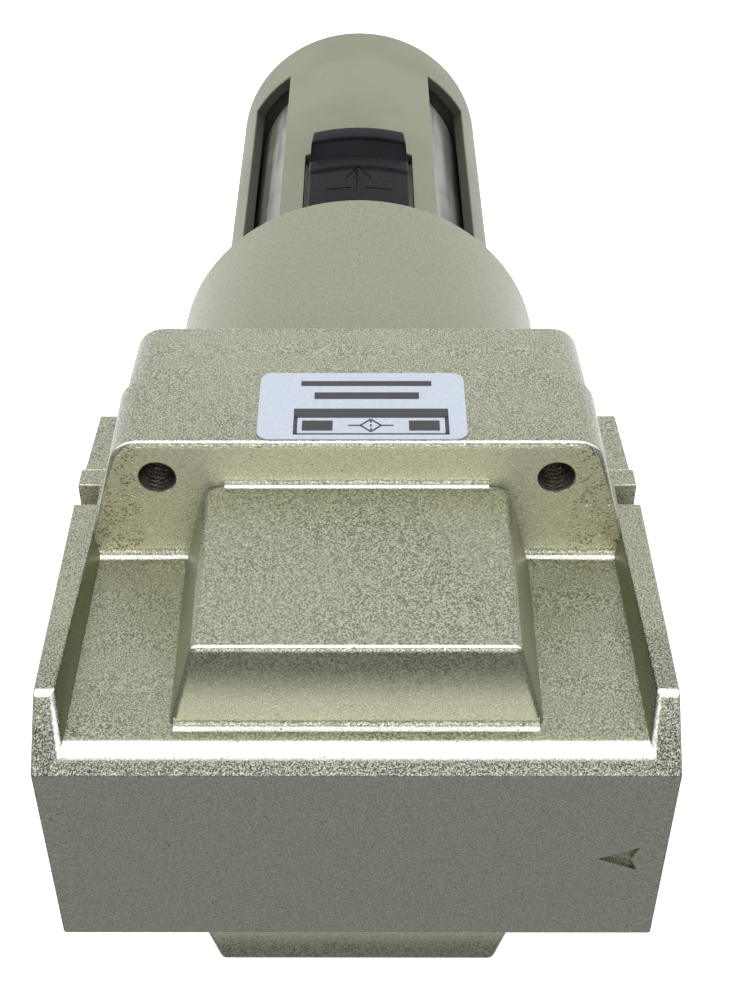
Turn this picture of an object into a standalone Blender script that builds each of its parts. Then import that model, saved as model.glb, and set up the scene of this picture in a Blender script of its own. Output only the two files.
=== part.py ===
"""A 3/4 inch modular compressed-air filter: die-cast head, bayonet bowl guard, clear bowl and drain cock.

World frame: metres, +Z up. The origin is the point where the port axis crosses the bowl's axis. Air enters
at the -X port and leaves at the +X port. The label and the lock button are on the front, which faces -Y.
Sizes below are in millimetres and degrees; finish() turns them into metres.
"""

import math

import bmesh
import bpy
from mathutils import Matrix, Vector

MM = 0.001
FIT = 0.3  # gap kept between two pieces that touch on the real unit
PAPER_GAP = 0.05  # gap behind the label, which is stuck to a flat face

# Heights along the bowl's axis, from the top down
HEAD_TOP = 24.0
SHOULDER_Z = -18.0
SEAM_Z = -34.5
PLATE_BOTTOM = -50.4
SKIRT_RIM = -105.6
GUARD_BOTTOM = -201.0
KNOB_BOTTOM = -216.0

# Head: the die-cast body and the housing below it
PORT_FACE_X = 45.0
FLANGE_Y = 26.0
TOP_HALF_Y = 18.35
CHAMFER_FOOT_Z = 15.2
PANEL_Y = 22.07  # at the shoulder
PANEL_DRAFT = 1.6  # degrees by which the panel leans back
COLLAR_Y = 43.76
COLLAR_HALF_X = 36.1
COLLAR_ROOT_X = 40.9
COLLAR_CORNER = 4.5
NOTCH_X = 41.4
NOTCH_TOP = -25.5
NOTCH_BOTTOM = -30.2
PAD_TOP = 17.0
PAD_Y = 36.1
PAD_CORNER = 3.0
ARROW_TIP_X = -35.0
ARROW_BASE_X = -41.0
ARROW_HALF_Y = 2.6
ARROW_NOTCH = 1.1
ARROW_DEPTH = 0.8
HOUSING_INSET = 0.5
HOUSING_DRAFT = 0.5

# Air ways inside the head
PORT_RADIUS = 12.25
PORT_MOUTH_RADIUS = 13.4
PORT_DEPTH = 18.0
WAY_RADIUS = 9.0
CHAMBER_RADIUS = 26.0
CHAMBER_TOP = -12.5
STANDPIPE_RADIUS = 13.5
STANDPIPE_END = -28.0

# Screws that hold the housing to the body
SCREW_X = 30.0
SCREW_Y = 37.4
TAPPED_RADIUS = 2.65
CLEARANCE_RADIUS = 3.3
COUNTERBORE_RADIUS = 4.7
COUNTERBORE_TOP = -41.5
SCREW_HEAD_RADIUS = 4.3
SCREW_HEAD_HEIGHT = 5.0
WASHER_THICKNESS = 1.4

# Housing bore, skirt and bayonet
SKIRT_RADIUS = 36.07
SKIRT_BORE = 32.4
NECK_BORE = 24.5
SEAL_BORE = 28.2
SEAL_BORE_TOP = -44.0
SEAL_BORE_END = -57.0
LUG_COUNT = 4
LUG_HALF_ANGLE = 20.0
HOUSING_LUG_TOP = -71.0
HOUSING_LUG_BOTTOM = -76.5
HOUSING_LUG_RADIUS = 29.4

# Bowl guard
GUARD_RADIUS = 28.9
GUARD_BORE = 26.5
GUARD_TOP = SEAL_BORE_END - 5.3
GUARD_FLOOR = GUARD_BOTTOM + 2.8
GUARD_EDGE = 1.0
GUARD_LUG_TOP = -64.7
GUARD_LUG_RADIUS = 31.9
SLOT_START = 34.5
SLOT_END = 59.0
SLOT_TOP = -112.0
SLOT_BOTTOM = -187.3
WINDOW_HALF_X = 11.4
WINDOW_TOP = -84.0
WINDOW_BOTTOM = -137.5

# Clear bowl
BOWL_RADIUS = 24.0
BOWL_WALL = 2.4
BOWL_NECK_RADIUS = 25.6
BOWL_NECK_BORE = 23.2
BOWL_TOP = -46.5
BOWL_FLANGE_RADIUS = 31.4
BOWL_ROUND_Z = -186.0
BOWL_FLAT_RADIUS = 16.0
BOWL_BOSS_RADIUS = 12.0

# Lock button, which slides down the guard's window
BUTTON_HALF_X = 10.4
BUTTON_CURVE = 39.0
BUTTON_FACE_Y = 29.8
BUTTON_LIP_Y = 32.2
BUTTON_LIP_BOTTOM = -144.15
BUTTON_LIP_TOP = -141.0
BUTTON_LEDGE_TOP = -138.3
BUTTON_LIP_HALF_X = 9.7
BUTTON_PLATE_TOP = -92.0
BUTTON_STROKE = 6.0
WING_RADIUS = 26.2
WING_BORE = 24.5
WING_HALF_ANGLE = 29.0
TONGUE_HALF_X = 5.0
TONGUE_Y = 31.2
TONGUE_TOP = -78.0
SPRING_Y = 26.3
SPRING_RADIUS = 1.5
SPRING_WIRE = 0.2
SPRING_TOP = -122.3

# Filter element and what clamps it
ELEMENT_RADIUS = 19.0
ELEMENT_BORE = 14.0
ELEMENT_LENGTH = 80.0
GASKET_THICKNESS = 2.0
DEFLECTOR_HUB = 3.0
DEFLECTOR_DEPTH = 10.7
DEFLECTOR_RADIUS = 24.0
VANE_COUNT = 12
VANE_TILT = 35.0
ROD_RADIUS = 3.0
ROD_TOP = 17.7
ROD_BOTTOM = -131.0
BAFFLE_RADIUS = 20.6
BAFFLE_SKIRT = -123.0
BAFFLE_HUB = -124.0

# Drain cock
DRAIN_RADIUS = 7.8
DRAIN_BORE = 3.75
DRAIN_FLANGE_RADIUS = 12.0
DRAIN_END = -207.0
STEM_RADIUS = 3.4
STEM_TOP = -194.6
STEM_BOTTOM = -213.0
KNOB_TOP = -207.4
KNOB_RADIUS = 9.0
KNOB_LOBES = 12

# Label
LABEL_LEFT = -16.5
LABEL_RIGHT = 14.9
LABEL_TOP = -18.9
LABEL_BOTTOM = -35.8
LABEL_CORNER = 1.8
LABEL_THICKNESS = 0.2

FRONT = -90.0  # bearing of the front, in degrees round +Z from +X
OUTER_STEPS = 48  # sides of the large round pieces
INNER_STEPS = 32  # sides of the round pieces inside them
SMALL_STEPS = 20  # sides of holes and shafts a few millimetres across


# ---- outlines and solids, all in millimetres ----

def polar(radius, degrees):
    """The point at this radius and bearing, as (x, y)."""
    angle = math.radians(degrees)
    return radius * math.cos(angle), radius * math.sin(angle)


def arc(centre, radius, start, end, steps):
    """Points along an arc from bearing start to bearing end, both included."""
    bearings = [start + (end - start) * i / steps for i in range(steps + 1)]
    return [(centre[0] + x, centre[1] + y) for x, y in (polar(radius, b) for b in bearings)]


def rectangle(left, right, low, high):
    return [(left, low), (right, low), (right, high), (left, high)]


def loft(sections, axis="z"):
    """A closed solid through outlines of equal length: sections is a list of (place along axis, outline)."""
    place = {
        "x": lambda a, p: (a, p[0], p[1]),
        "y": lambda a, p: (p[0], a, p[1]),
        "z": lambda a, p: (p[0], p[1], a),
    }[axis]
    bm = bmesh.new()
    rings = [[bm.verts.new(place(a, p)) for p in outline] for a, outline in sections]
    for low, high in zip(rings, rings[1:]):
        for i in range(len(low)):
            j = (i + 1) % len(low)
            bm.faces.new((low[i], low[j], high[j], high[i]))
    bm.faces.new(rings[0])
    bm.faces.new(rings[-1])
    bmesh.ops.recalc_face_normals(bm, faces=bm.faces)
    return bm


def prism(outline, low, high, axis="z"):
    return loft([(low, outline), (high, outline)], axis)


def box(x, y, z):
    return prism(rectangle(*x, *y), *z)


def sector(inner, outer, middle, half_angle, low, high, steps=6):
    """A stretch of a ring, centred on the bearing middle."""
    start, end = middle - half_angle, middle + half_angle
    outline = arc((0, 0), outer, start, end, steps) + arc((0, 0), inner, end, start, steps)
    return prism(outline, low, high)


def lathe(profile, steps=INNER_STEPS, axis="z"):
    """A closed profile of (radius, height) turned about an axis. A point at radius 0 becomes one vertex."""
    bm = bmesh.new()
    columns = []
    for radius, height in profile:
        ring = []
        for i in range(steps if radius > 0 else 1):
            u, v = polar(radius, 360 * i / steps)
            ring.append(bm.verts.new((u, v, height) if axis == "z" else (height, u, v)))
        columns.append(ring)
    for first, second in zip(columns, columns[1:] + columns[:1]):
        if len(first) == len(second) == 1:
            continue
        for i in range(steps):
            j = (i + 1) % steps
            corners = [first[i % len(first)], first[j % len(first)]]
            corners += [second[j % len(second)], second[i % len(second)]]
            bm.faces.new(list(dict.fromkeys(corners)))
    bmesh.ops.recalc_face_normals(bm, faces=bm.faces)
    return bm


def tube(inner, outer, low, high, steps=INNER_STEPS):
    return lathe([(outer, low), (outer, high), (inner, high), (inner, low)], steps)


def cylinder(radius, low, high, steps=SMALL_STEPS, at=(0, 0), axis="z"):
    bm = lathe([(0, low), (radius, low), (radius, high), (0, high)], steps, axis)
    bmesh.ops.translate(bm, verts=bm.verts, vec=(at[0], at[1], 0))
    return bm


def o_ring(radius, thickness, height, steps=INNER_STEPS):
    return lathe(arc((radius, height), thickness, 0, 300, 5), steps)


def hexagon(across_flats):
    return [polar(across_flats / math.sqrt(3), 60 * i) for i in range(6)]


def moved(bm, at):
    """The shape, shifted sideways."""
    bmesh.ops.translate(bm, verts=bm.verts, vec=(*at, 0))
    return bm


def combined(shapes):
    """One bmesh that holds several closed shapes side by side."""
    whole = bmesh.new()
    for shape in shapes:
        mesh = bpy.data.meshes.new("copy")
        shape.to_mesh(mesh)
        whole.from_mesh(mesh)
        bpy.data.meshes.remove(mesh)
    return whole


# ---- objects ----

def material(name, colour, roughness, metallic=0.0, alpha=1.0):
    made = bpy.data.materials.new(name)
    made.use_nodes = True
    shader = made.node_tree.nodes["Principled BSDF"]
    shader.inputs["Base Color"].default_value = (*colour, 1)
    shader.inputs["Roughness"].default_value = roughness
    shader.inputs["Metallic"].default_value = metallic
    shader.inputs["Alpha"].default_value = alpha
    return made


def finish(name, bm, finish_material=None, origin=(0, 0, 0), parent=None):
    """Makes the object in metres, with its own origin at the given point."""
    bmesh.ops.translate(bm, verts=bm.verts, vec=-Vector(origin))
    bmesh.ops.scale(bm, verts=bm.verts, vec=(MM, MM, MM))
    mesh = bpy.data.meshes.new(name)
    bm.to_mesh(mesh)
    bm.free()
    obj = bpy.data.objects.new(name, mesh)
    bpy.context.scene.collection.objects.link(obj)
    obj.parent = parent
    parent_place = parent.location if parent else Vector((0, 0, 0))
    obj.location = Vector(origin) * MM - parent_place
    if finish_material:
        mesh.materials.append(finish_material)
        mesh.shade_smooth()
        mesh.set_sharp_from_angle(angle=math.radians(30))
    return obj


def combine(obj, operation, helper, label):
    """Adds one Boolean to obj. Its operand stays in the file as a hidden helper."""
    helper.hide_render = True
    helper.display_type = "WIRE"
    boolean = obj.modifiers.new(label, "BOOLEAN")
    boolean.operation = operation
    boolean.solver = "EXACT"
    boolean.object = helper


def cut(obj, shape, label):
    combine(obj, "DIFFERENCE", finish(f"{obj.name}_{label}", shape), label)


def join(obj, shape, label):
    combine(obj, "UNION", finish(f"{obj.name}_{label}", shape), label)


# ---- the head ----

def head_outline(inset):
    """Plan of the lower head: two port flanges, and a collar that narrows to round corners front and back."""
    flange_x, flange_y = PORT_FACE_X - inset, FLANGE_Y - inset
    root_x, side_x = COLLAR_ROOT_X - inset, COLLAR_HALF_X - inset
    front_y, corner = COLLAR_Y - inset, COLLAR_CORNER
    slant = math.degrees(math.atan2(front_y - flange_y, side_x - root_x))
    # The corner's centre is one radius in from the front face and one from the slanted side.
    centre_y = front_y - corner
    side_at_centre = root_x + (centre_y - flange_y) / math.tan(math.radians(slant))
    centre_x = side_at_centre - corner / math.sin(math.radians(slant))
    right_back = [(flange_x, flange_y), (root_x, flange_y)]
    right_back += arc((centre_x, centre_y), corner, slant - 90, 90, 5)
    left_back = [(-x, y) for x, y in reversed(right_back)]
    return right_back + left_back + [(-x, -y) for x, y in right_back + left_back]


def screw_places():
    return [(x, y) for x in (-SCREW_X, SCREW_X) for y in (-SCREW_Y, SCREW_Y)]


def pad(side):
    """The raised pad on the front (side -1) or back (side 1). Its flanks are drafted."""
    def outline(y):
        flare = (PAD_Y - y) * 0.2637
        upper, lower = 22.3 + flare, 22.9 + flare
        right = [(upper, PAD_TOP), (lower, SHOULDER_Z + PAD_CORNER)]
        right += arc((lower - PAD_CORNER, SHOULDER_Z + PAD_CORNER), PAD_CORNER, -22.5, -90, 3)
        right += [(lower - PAD_CORNER, SHOULDER_Z - 2)]
        return right + [(-x, z) for x, z in reversed(right)]
    root = TOP_HALF_Y - 1
    return loft([(side * root, outline(root)), (side * PAD_Y, outline(PAD_Y))], "y")


def panel_recess(side):
    """Space in front of the panel between the two port flanges, open at the top and drafted both ways."""
    def outline(foot, edge, panel_y):
        slope = (edge - foot) / (FLANGE_Y - panel_y)
        out_y = FLANGE_Y + 4
        out_x = foot + slope * (out_y - panel_y)
        points = [(-foot, panel_y), (foot, panel_y), (out_x, out_y), (-out_x, out_y)]
        return [(x, side * y) for x, y in points]
    end_z = HEAD_TOP + 6
    end_y = PANEL_Y - (end_z - SHOULDER_Z) * math.tan(math.radians(PANEL_DRAFT))
    return loft([(SHOULDER_Z, outline(40.1, 41.1, PANEL_Y)), (end_z, outline(40.85, 42.3, end_y))])


def port_bore(side):
    """A port's bore with its countersunk mouth, and the air way that leads on from it."""
    inner = PORT_FACE_X - PORT_DEPTH
    way_end = -15.0 if side < 0 else 0.0
    profile = [(0, way_end), (WAY_RADIUS, way_end), (WAY_RADIUS, side * inner), (PORT_RADIUS, side * inner)]
    countersink = PORT_MOUTH_RADIUS - PORT_RADIUS
    profile += [(PORT_RADIUS, side * (PORT_FACE_X - countersink)), (PORT_MOUTH_RADIUS, side * PORT_FACE_X)]
    profile += [(PORT_MOUTH_RADIUS, side * (PORT_FACE_X + 1)), (0, side * (PORT_FACE_X + 1))]
    return lathe(profile, INNER_STEPS, "x")


def make_body(paint):
    body = finish("body", prism(head_outline(0), SEAM_Z + FIT / 2, SHOULDER_Z), paint)
    block = [(-FLANGE_Y, SEAM_Z + 3), (FLANGE_Y, SEAM_Z + 3), (FLANGE_Y, CHAMFER_FOOT_Z)]
    block += [(TOP_HALF_Y, HEAD_TOP), (-TOP_HALF_Y, HEAD_TOP), (-FLANGE_Y, CHAMFER_FOOT_Z)]
    upper = finish("body_upper", prism(block, -PORT_FACE_X, PORT_FACE_X, "x"))
    cut(upper, combined([panel_recess(-1), panel_recess(1)]), "recesses")
    combine(body, "UNION", upper, "upper")
    join(body, combined([pad(-1), pad(1)]), "pads")
    chamber = [(0, SEAM_Z - 5), (CHAMBER_RADIUS, SEAM_Z - 5), (CHAMBER_RADIUS, CHAMBER_TOP)]
    chamber += [(STANDPIPE_RADIUS, CHAMBER_TOP), (STANDPIPE_RADIUS, STANDPIPE_END)]
    chamber += [(WAY_RADIUS - 0.2, STANDPIPE_END), (WAY_RADIUS - 0.2, 0), (0, 0)]
    cut(body, lathe(chamber), "chamber")
    cut(body, port_bore(-1), "inlet")
    cut(body, port_bore(1), "outlet")
    cut(body, box((-26.5, -14.7), (-8.2, 8.2), (CHAMBER_TOP - 4, 3)), "inlet_well")
    cut(body, cylinder(ROD_RADIUS + FIT, -4, ROD_TOP + FIT), "rod_hole")
    holes = [cylinder(TAPPED_RADIUS, SEAM_Z - 5, SHOULDER_Z + 5, at=at) for at in screw_places()]
    cut(body, combined(holes), "tapped_holes")
    sides = [sorted((side * NOTCH_X, side * (PORT_FACE_X + 2))) for side in (-1, 1)]
    notches = [box(x, (-FLANGE_Y - 4, FLANGE_Y + 4), (NOTCH_BOTTOM, NOTCH_TOP)) for x in sides]
    cut(body, combined(notches), "side_notches")
    notch_x = ARROW_BASE_X + ARROW_NOTCH
    arrow = [(ARROW_TIP_X, 0), (ARROW_BASE_X, ARROW_HALF_Y), (notch_x, 0), (ARROW_BASE_X, -ARROW_HALF_Y)]
    cut(body, prism(arrow, HEAD_TOP - ARROW_DEPTH, HEAD_TOP + 1), "flow_arrow")


def make_housing(paint):
    top = SEAM_Z - FIT / 2
    sections = [(PLATE_BOTTOM, head_outline(HOUSING_INSET + HOUSING_DRAFT))]
    sections += [(top, head_outline(HOUSING_INSET))]
    housing = finish("housing", loft(sections), paint)
    join(housing, cylinder(SKIRT_RADIUS, SKIRT_RIM, PLATE_BOTTOM + 1, OUTER_STEPS), "skirt")
    bore = [(0, SEAM_Z + 4), (NECK_BORE, SEAM_Z + 4), (NECK_BORE, SEAL_BORE_TOP), (SEAL_BORE, SEAL_BORE_TOP)]
    bore += [(SEAL_BORE, SEAL_BORE_END), (SKIRT_BORE, SEAL_BORE_END)]
    bore += [(SKIRT_BORE, SKIRT_RIM - 4), (0, SKIRT_RIM - 4)]
    cut(housing, lathe(bore, OUTER_STEPS), "bore")
    cut(housing, tube(28.75, 31.25, top - 2.2, top + 3), "gasket_groove")
    hole = [(0, PLATE_BOTTOM - 3), (COUNTERBORE_RADIUS, PLATE_BOTTOM - 3)]
    hole += [(COUNTERBORE_RADIUS, COUNTERBORE_TOP), (CLEARANCE_RADIUS, COUNTERBORE_TOP)]
    hole += [(CLEARANCE_RADIUS, SEAM_Z + 3), (0, SEAM_Z + 3)]
    cut(housing, combined([moved(lathe(hole, SMALL_STEPS), at) for at in screw_places()]), "screw_holes")
    bayonet = lugs(HOUSING_LUG_RADIUS, SKIRT_BORE + 1, HOUSING_LUG_BOTTOM, HOUSING_LUG_TOP)
    join(housing, combined(bayonet), "lugs")


def lugs(inner, outer, low, high):
    """Bayonet lugs, spaced evenly, with a gap on the front."""
    spacing = 360 / LUG_COUNT
    middles = [FRONT + spacing * (i + 0.5) for i in range(LUG_COUNT)]
    return [sector(inner, outer, middle, LUG_HALF_ANGLE, low, high) for middle in middles]


def make_fasteners(steel):
    washer_top = COUNTERBORE_TOP - FIT
    washer_bottom = washer_top - WASHER_THICKNESS
    head_top = washer_bottom - FIT
    head_bottom = head_top - SCREW_HEAD_HEIGHT
    radius = SCREW_HEAD_RADIUS
    profile = [(0, head_bottom), (radius - 0.4, head_bottom), (radius, head_bottom + 0.4)]
    profile += [(radius, head_top), (2.95, head_top), (2.95, SEAM_Z - 0.5)]
    profile += [(2.3, SEAM_Z + 0.5), (2.3, -24), (0, -24)]
    for number, at in enumerate(screw_places(), 1):
        screw = finish(f"housing_screw_{number}", moved(lathe(profile, 16), at), steel)
        socket = prism(hexagon(4), head_bottom - 1, head_bottom + 2.5)
        cut(screw, moved(socket, at), "socket")
        washer = sector(CLEARANCE_RADIUS, radius, 0, 173, washer_bottom, washer_top, 16)
        finish(f"lock_washer_{number}", moved(washer, at), steel)


def make_housing_gasket(rubber):
    finish("housing_gasket", o_ring(30, 0.95, SEAM_Z - FIT / 2 - 0.95), rubber)


# ---- what hangs inside the bowl ----

def make_filter_stack(plastic, media, rubber, steel):
    hub_top = STANDPIPE_END - FIT
    hub_bottom = hub_top - DEFLECTOR_HUB
    inner = ELEMENT_RADIUS + FIT
    rim_bottom = hub_top - DEFLECTOR_DEPTH
    cap = [(8, hub_bottom), (8, hub_top), (inner + 1.3, hub_top), (inner + 1.3, rim_bottom)]
    cap += [(inner, rim_bottom), (inner, hub_bottom)]
    deflector = finish("deflector", lathe(cap), plastic)
    vanes = [vane(360 * i / VANE_COUNT, inner + 1, DEFLECTOR_RADIUS - 0.5, hub_top - 2, rim_bottom + 1)
             for i in range(VANE_COUNT)]
    join(deflector, combined(vanes), "vanes")
    join(deflector, tube(DEFLECTOR_RADIUS - 1.1, DEFLECTOR_RADIUS, rim_bottom, hub_top), "rim")

    gasket_top = hub_bottom - FIT
    upper_end = gasket_top - GASKET_THICKNESS
    finish("upper_element_gasket", tube(12, 18.5, upper_end, gasket_top), rubber)
    element_top = upper_end - FIT
    element_bottom = element_top - ELEMENT_LENGTH
    finish("filter_element", tube(ELEMENT_BORE, ELEMENT_RADIUS, element_bottom, element_top), media)
    lower_top = element_bottom - FIT
    lower_end = lower_top - GASKET_THICKNESS
    finish("lower_element_gasket", tube(13, 18.5, lower_end, lower_top), rubber)

    top = lower_end - FIT
    floor = top - 2.5
    skirt = [(ROD_RADIUS + FIT, top), (BAFFLE_RADIUS - 1, top), (BAFFLE_RADIUS, top - 1)]
    skirt += [(BAFFLE_RADIUS, BAFFLE_SKIRT), (BAFFLE_RADIUS - 1.5, BAFFLE_SKIRT)]
    skirt += [(BAFFLE_RADIUS - 1.5, floor)]
    skirt += [(6, floor), (6, BAFFLE_HUB), (ROD_RADIUS + FIT, BAFFLE_HUB)]
    baffle = finish("baffle", lathe(skirt), plastic)
    ribs = []
    for quarter in range(4):
        rib = box((5.5, BAFFLE_RADIUS - 1), (-0.7, 0.7), (BAFFLE_SKIRT + 0.5, floor + 0.5))
        turn = Matrix.Rotation(math.radians(45 + 90 * quarter), 3, "Z")
        bmesh.ops.rotate(rib, verts=rib.verts, cent=(0, 0, 0), matrix=turn)
        ribs.append(rib)
    join(baffle, combined(ribs), "ribs")

    finish("tie_rod", cylinder(ROD_RADIUS, ROD_BOTTOM, ROD_TOP), steel)
    nut = finish("tie_rod_nut", prism(hexagon(10), BAFFLE_HUB - FIT - 5, BAFFLE_HUB - FIT), steel)
    cut(nut, cylinder(ROD_RADIUS + FIT, BAFFLE_HUB - 8, BAFFLE_HUB + 2), "hole")


def vane(bearing, inner, outer, high, low):
    """A slanted louvre blade: its lower edge trails its upper edge, which sets the air spinning."""
    lean = math.degrees(math.tan(math.radians(VANE_TILT)) * (high - low) / DEFLECTOR_RADIUS)
    half_width = 1.2
    def outline(middle):
        start, end = middle - half_width, middle + half_width
        return [polar(outer, start), polar(outer, end), polar(inner, end), polar(inner, start)]
    return loft([(low, outline(bearing - lean)), (high, outline(bearing))])


# ---- the bowl unit, which turns on its bayonet ----

def make_guard(paint, pivot):
    edge = arc((GUARD_RADIUS - GUARD_EDGE, GUARD_BOTTOM + GUARD_EDGE), GUARD_EDGE, 0, -90, 4)
    hole = DRAIN_RADIUS + FIT
    profile = [(GUARD_RADIUS, GUARD_TOP)] + edge
    profile += [(hole, GUARD_BOTTOM), (hole, GUARD_FLOOR), (GUARD_BORE, GUARD_FLOOR), (GUARD_BORE, GUARD_TOP)]
    guard = finish("bowl_guard", lathe(profile, OUTER_STEPS), paint, parent=pivot)
    window = box((-WINDOW_HALF_X, WINDOW_HALF_X), (-GUARD_RADIUS - 5, -20), (WINDOW_BOTTOM, WINDOW_TOP))
    cut(guard, window, "button_window")
    half = (SLOT_END - SLOT_START) / 2
    offset = (SLOT_END + SLOT_START) / 2
    bearings = [middle + side * offset for middle in (FRONT, -FRONT) for side in (-1, 1)]
    slots = [sector(GUARD_BORE - 3, GUARD_RADIUS + 3, b, half, SLOT_BOTTOM, SLOT_TOP) for b in bearings]
    cut(guard, combined(slots), "sight_slots")
    lug_bottom = HOUSING_LUG_TOP + FIT
    join(guard, combined(lugs(GUARD_RADIUS - 1, GUARD_LUG_RADIUS, lug_bottom, GUARD_LUG_TOP)), "lugs")
    join(guard, box((-3, 3), (-27.5, -24.6), (WINDOW_BOTTOM - 4, WINDOW_BOTTOM)), "spring_seat")


def make_bowl(clear, rubber, pivot):
    bore = BOWL_RADIUS - BOWL_WALL
    flange_top = SEAL_BORE_END - FIT
    flange_bottom = GUARD_TOP + FIT
    boss_end = GUARD_FLOOR + FIT
    hole = DRAIN_RADIUS + FIT
    outer_round = BOWL_RADIUS - BOWL_FLAT_RADIUS
    inner_round = bore - BOWL_FLAT_RADIUS
    floor = BOWL_ROUND_Z - inner_round
    profile = [(BOWL_NECK_BORE, BOWL_TOP), (BOWL_NECK_RADIUS, BOWL_TOP), (BOWL_NECK_RADIUS, flange_top)]
    profile += [(BOWL_FLANGE_RADIUS, flange_top), (BOWL_FLANGE_RADIUS, flange_bottom)]
    profile += [(BOWL_RADIUS, flange_bottom)]
    profile += arc((BOWL_FLAT_RADIUS, BOWL_ROUND_Z), outer_round, 0, -90, 4)
    profile += [(BOWL_BOSS_RADIUS, BOWL_ROUND_Z - outer_round), (BOWL_BOSS_RADIUS, boss_end)]
    profile += [(hole, boss_end), (hole, floor)]
    profile += arc((BOWL_FLAT_RADIUS, BOWL_ROUND_Z), inner_round, -90, 0, 4)
    profile += [(bore, flange_bottom - 2), (BOWL_NECK_BORE, flange_top)]
    finish("bowl", lathe(profile, OUTER_STEPS), clear, parent=pivot)
    finish("bowl_o_ring", o_ring((BOWL_NECK_RADIUS + SEAL_BORE) / 2, 1.0, -53), rubber, parent=pivot)


def button_outline(face_y, inner_radius, half_x=BUTTON_HALF_X):
    """Plan of the button: a gently curved face outside, and an arc round the bowl's axis inside."""
    steps = 8
    xs = [half_x * (2 * i / steps - 1) for i in range(steps + 1)]
    centre_y = BUTTON_CURVE - face_y
    outside = [(x, centre_y - math.sqrt(BUTTON_CURVE ** 2 - x * x)) for x in xs]
    inside = [(x, -math.sqrt(inner_radius ** 2 - x * x)) for x in reversed(xs)]
    return outside + inside


def make_lock_button(plastic, steel, pivot):
    origin = (0, -BUTTON_FACE_Y, WINDOW_BOTTOM)
    plate_bottom = WINDOW_BOTTOM + BUTTON_STROKE + FIT
    plate = prism(button_outline(BUTTON_FACE_Y, WING_BORE), plate_bottom, BUTTON_PLATE_TOP)
    button = finish("lock_button", plate, plastic, origin, pivot)
    wing_heights = (plate_bottom + 0.5, BUTTON_PLATE_TOP - 0.5)
    wings = sector(WING_BORE, WING_RADIUS, FRONT, WING_HALF_ANGLE, *wing_heights, 8)
    join(button, wings, "wings")
    lip_middle = (BUTTON_LIP_HALF_X + BUTTON_HALF_X) / 2
    levels = [(BUTTON_LIP_BOTTOM, BUTTON_LIP_Y, BUTTON_LIP_HALF_X)]
    levels += [(BUTTON_LIP_TOP, BUTTON_LIP_Y, lip_middle)]
    levels += [(BUTTON_LEDGE_TOP, BUTTON_FACE_Y, BUTTON_HALF_X)]
    levels += [(plate_bottom + 2, BUTTON_FACE_Y, BUTTON_HALF_X)]
    outside_guard = GUARD_RADIUS + FIT
    skin = [(z, button_outline(y, outside_guard, half_x)) for z, y, half_x in levels]
    join(button, loft(skin), "lip")
    across = (-TONGUE_HALF_X, TONGUE_HALF_X)
    join(button, box(across, (-TONGUE_Y, -27), (BUTTON_PLATE_TOP - 2, WINDOW_TOP - 1)), "tongue_root")
    join(button, box(across, (-TONGUE_Y, -GUARD_RADIUS - FIT), (WINDOW_TOP - 3, TONGUE_TOP)), "tongue")
    room = SPRING_RADIUS + SPRING_WIRE + FIT
    pocket = box((-room, room), (-SPRING_Y - room, -20), (plate_bottom - 2, SPRING_TOP + FIT))
    cut(button, pocket, "spring_pocket")
    finish("lock_spring", coil_spring(WINDOW_BOTTOM + FIT, SPRING_TOP, 6), steel, parent=pivot)


def coil_spring(low, high, turns, around=10, sides=5):
    """A round wire wound about a vertical line in front of the bowl, with open ends."""
    bm = bmesh.new()
    steps = turns * around
    rise = high - low - 2 * SPRING_WIRE
    rings = []
    for i in range(steps + 1):
        angle = 2 * math.pi * i / around
        outward = Vector((math.cos(angle), math.sin(angle), 0))
        centre = Vector((0, -SPRING_Y, low + SPRING_WIRE + rise * i / steps)) + SPRING_RADIUS * outward
        ring = []
        for j in range(sides):
            a, b = polar(SPRING_WIRE, 360 * j / sides)
            ring.append(bm.verts.new(centre + outward * a + Vector((0, 0, b))))
        rings.append(ring)
    for first, second in zip(rings, rings[1:]):
        for j in range(sides):
            k = (j + 1) % sides
            bm.faces.new((first[j], first[k], second[k], second[j]))
    bm.faces.new(rings[0])
    bm.faces.new(rings[-1])
    bmesh.ops.recalc_face_normals(bm, faces=bm.faces)
    return bm


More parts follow.
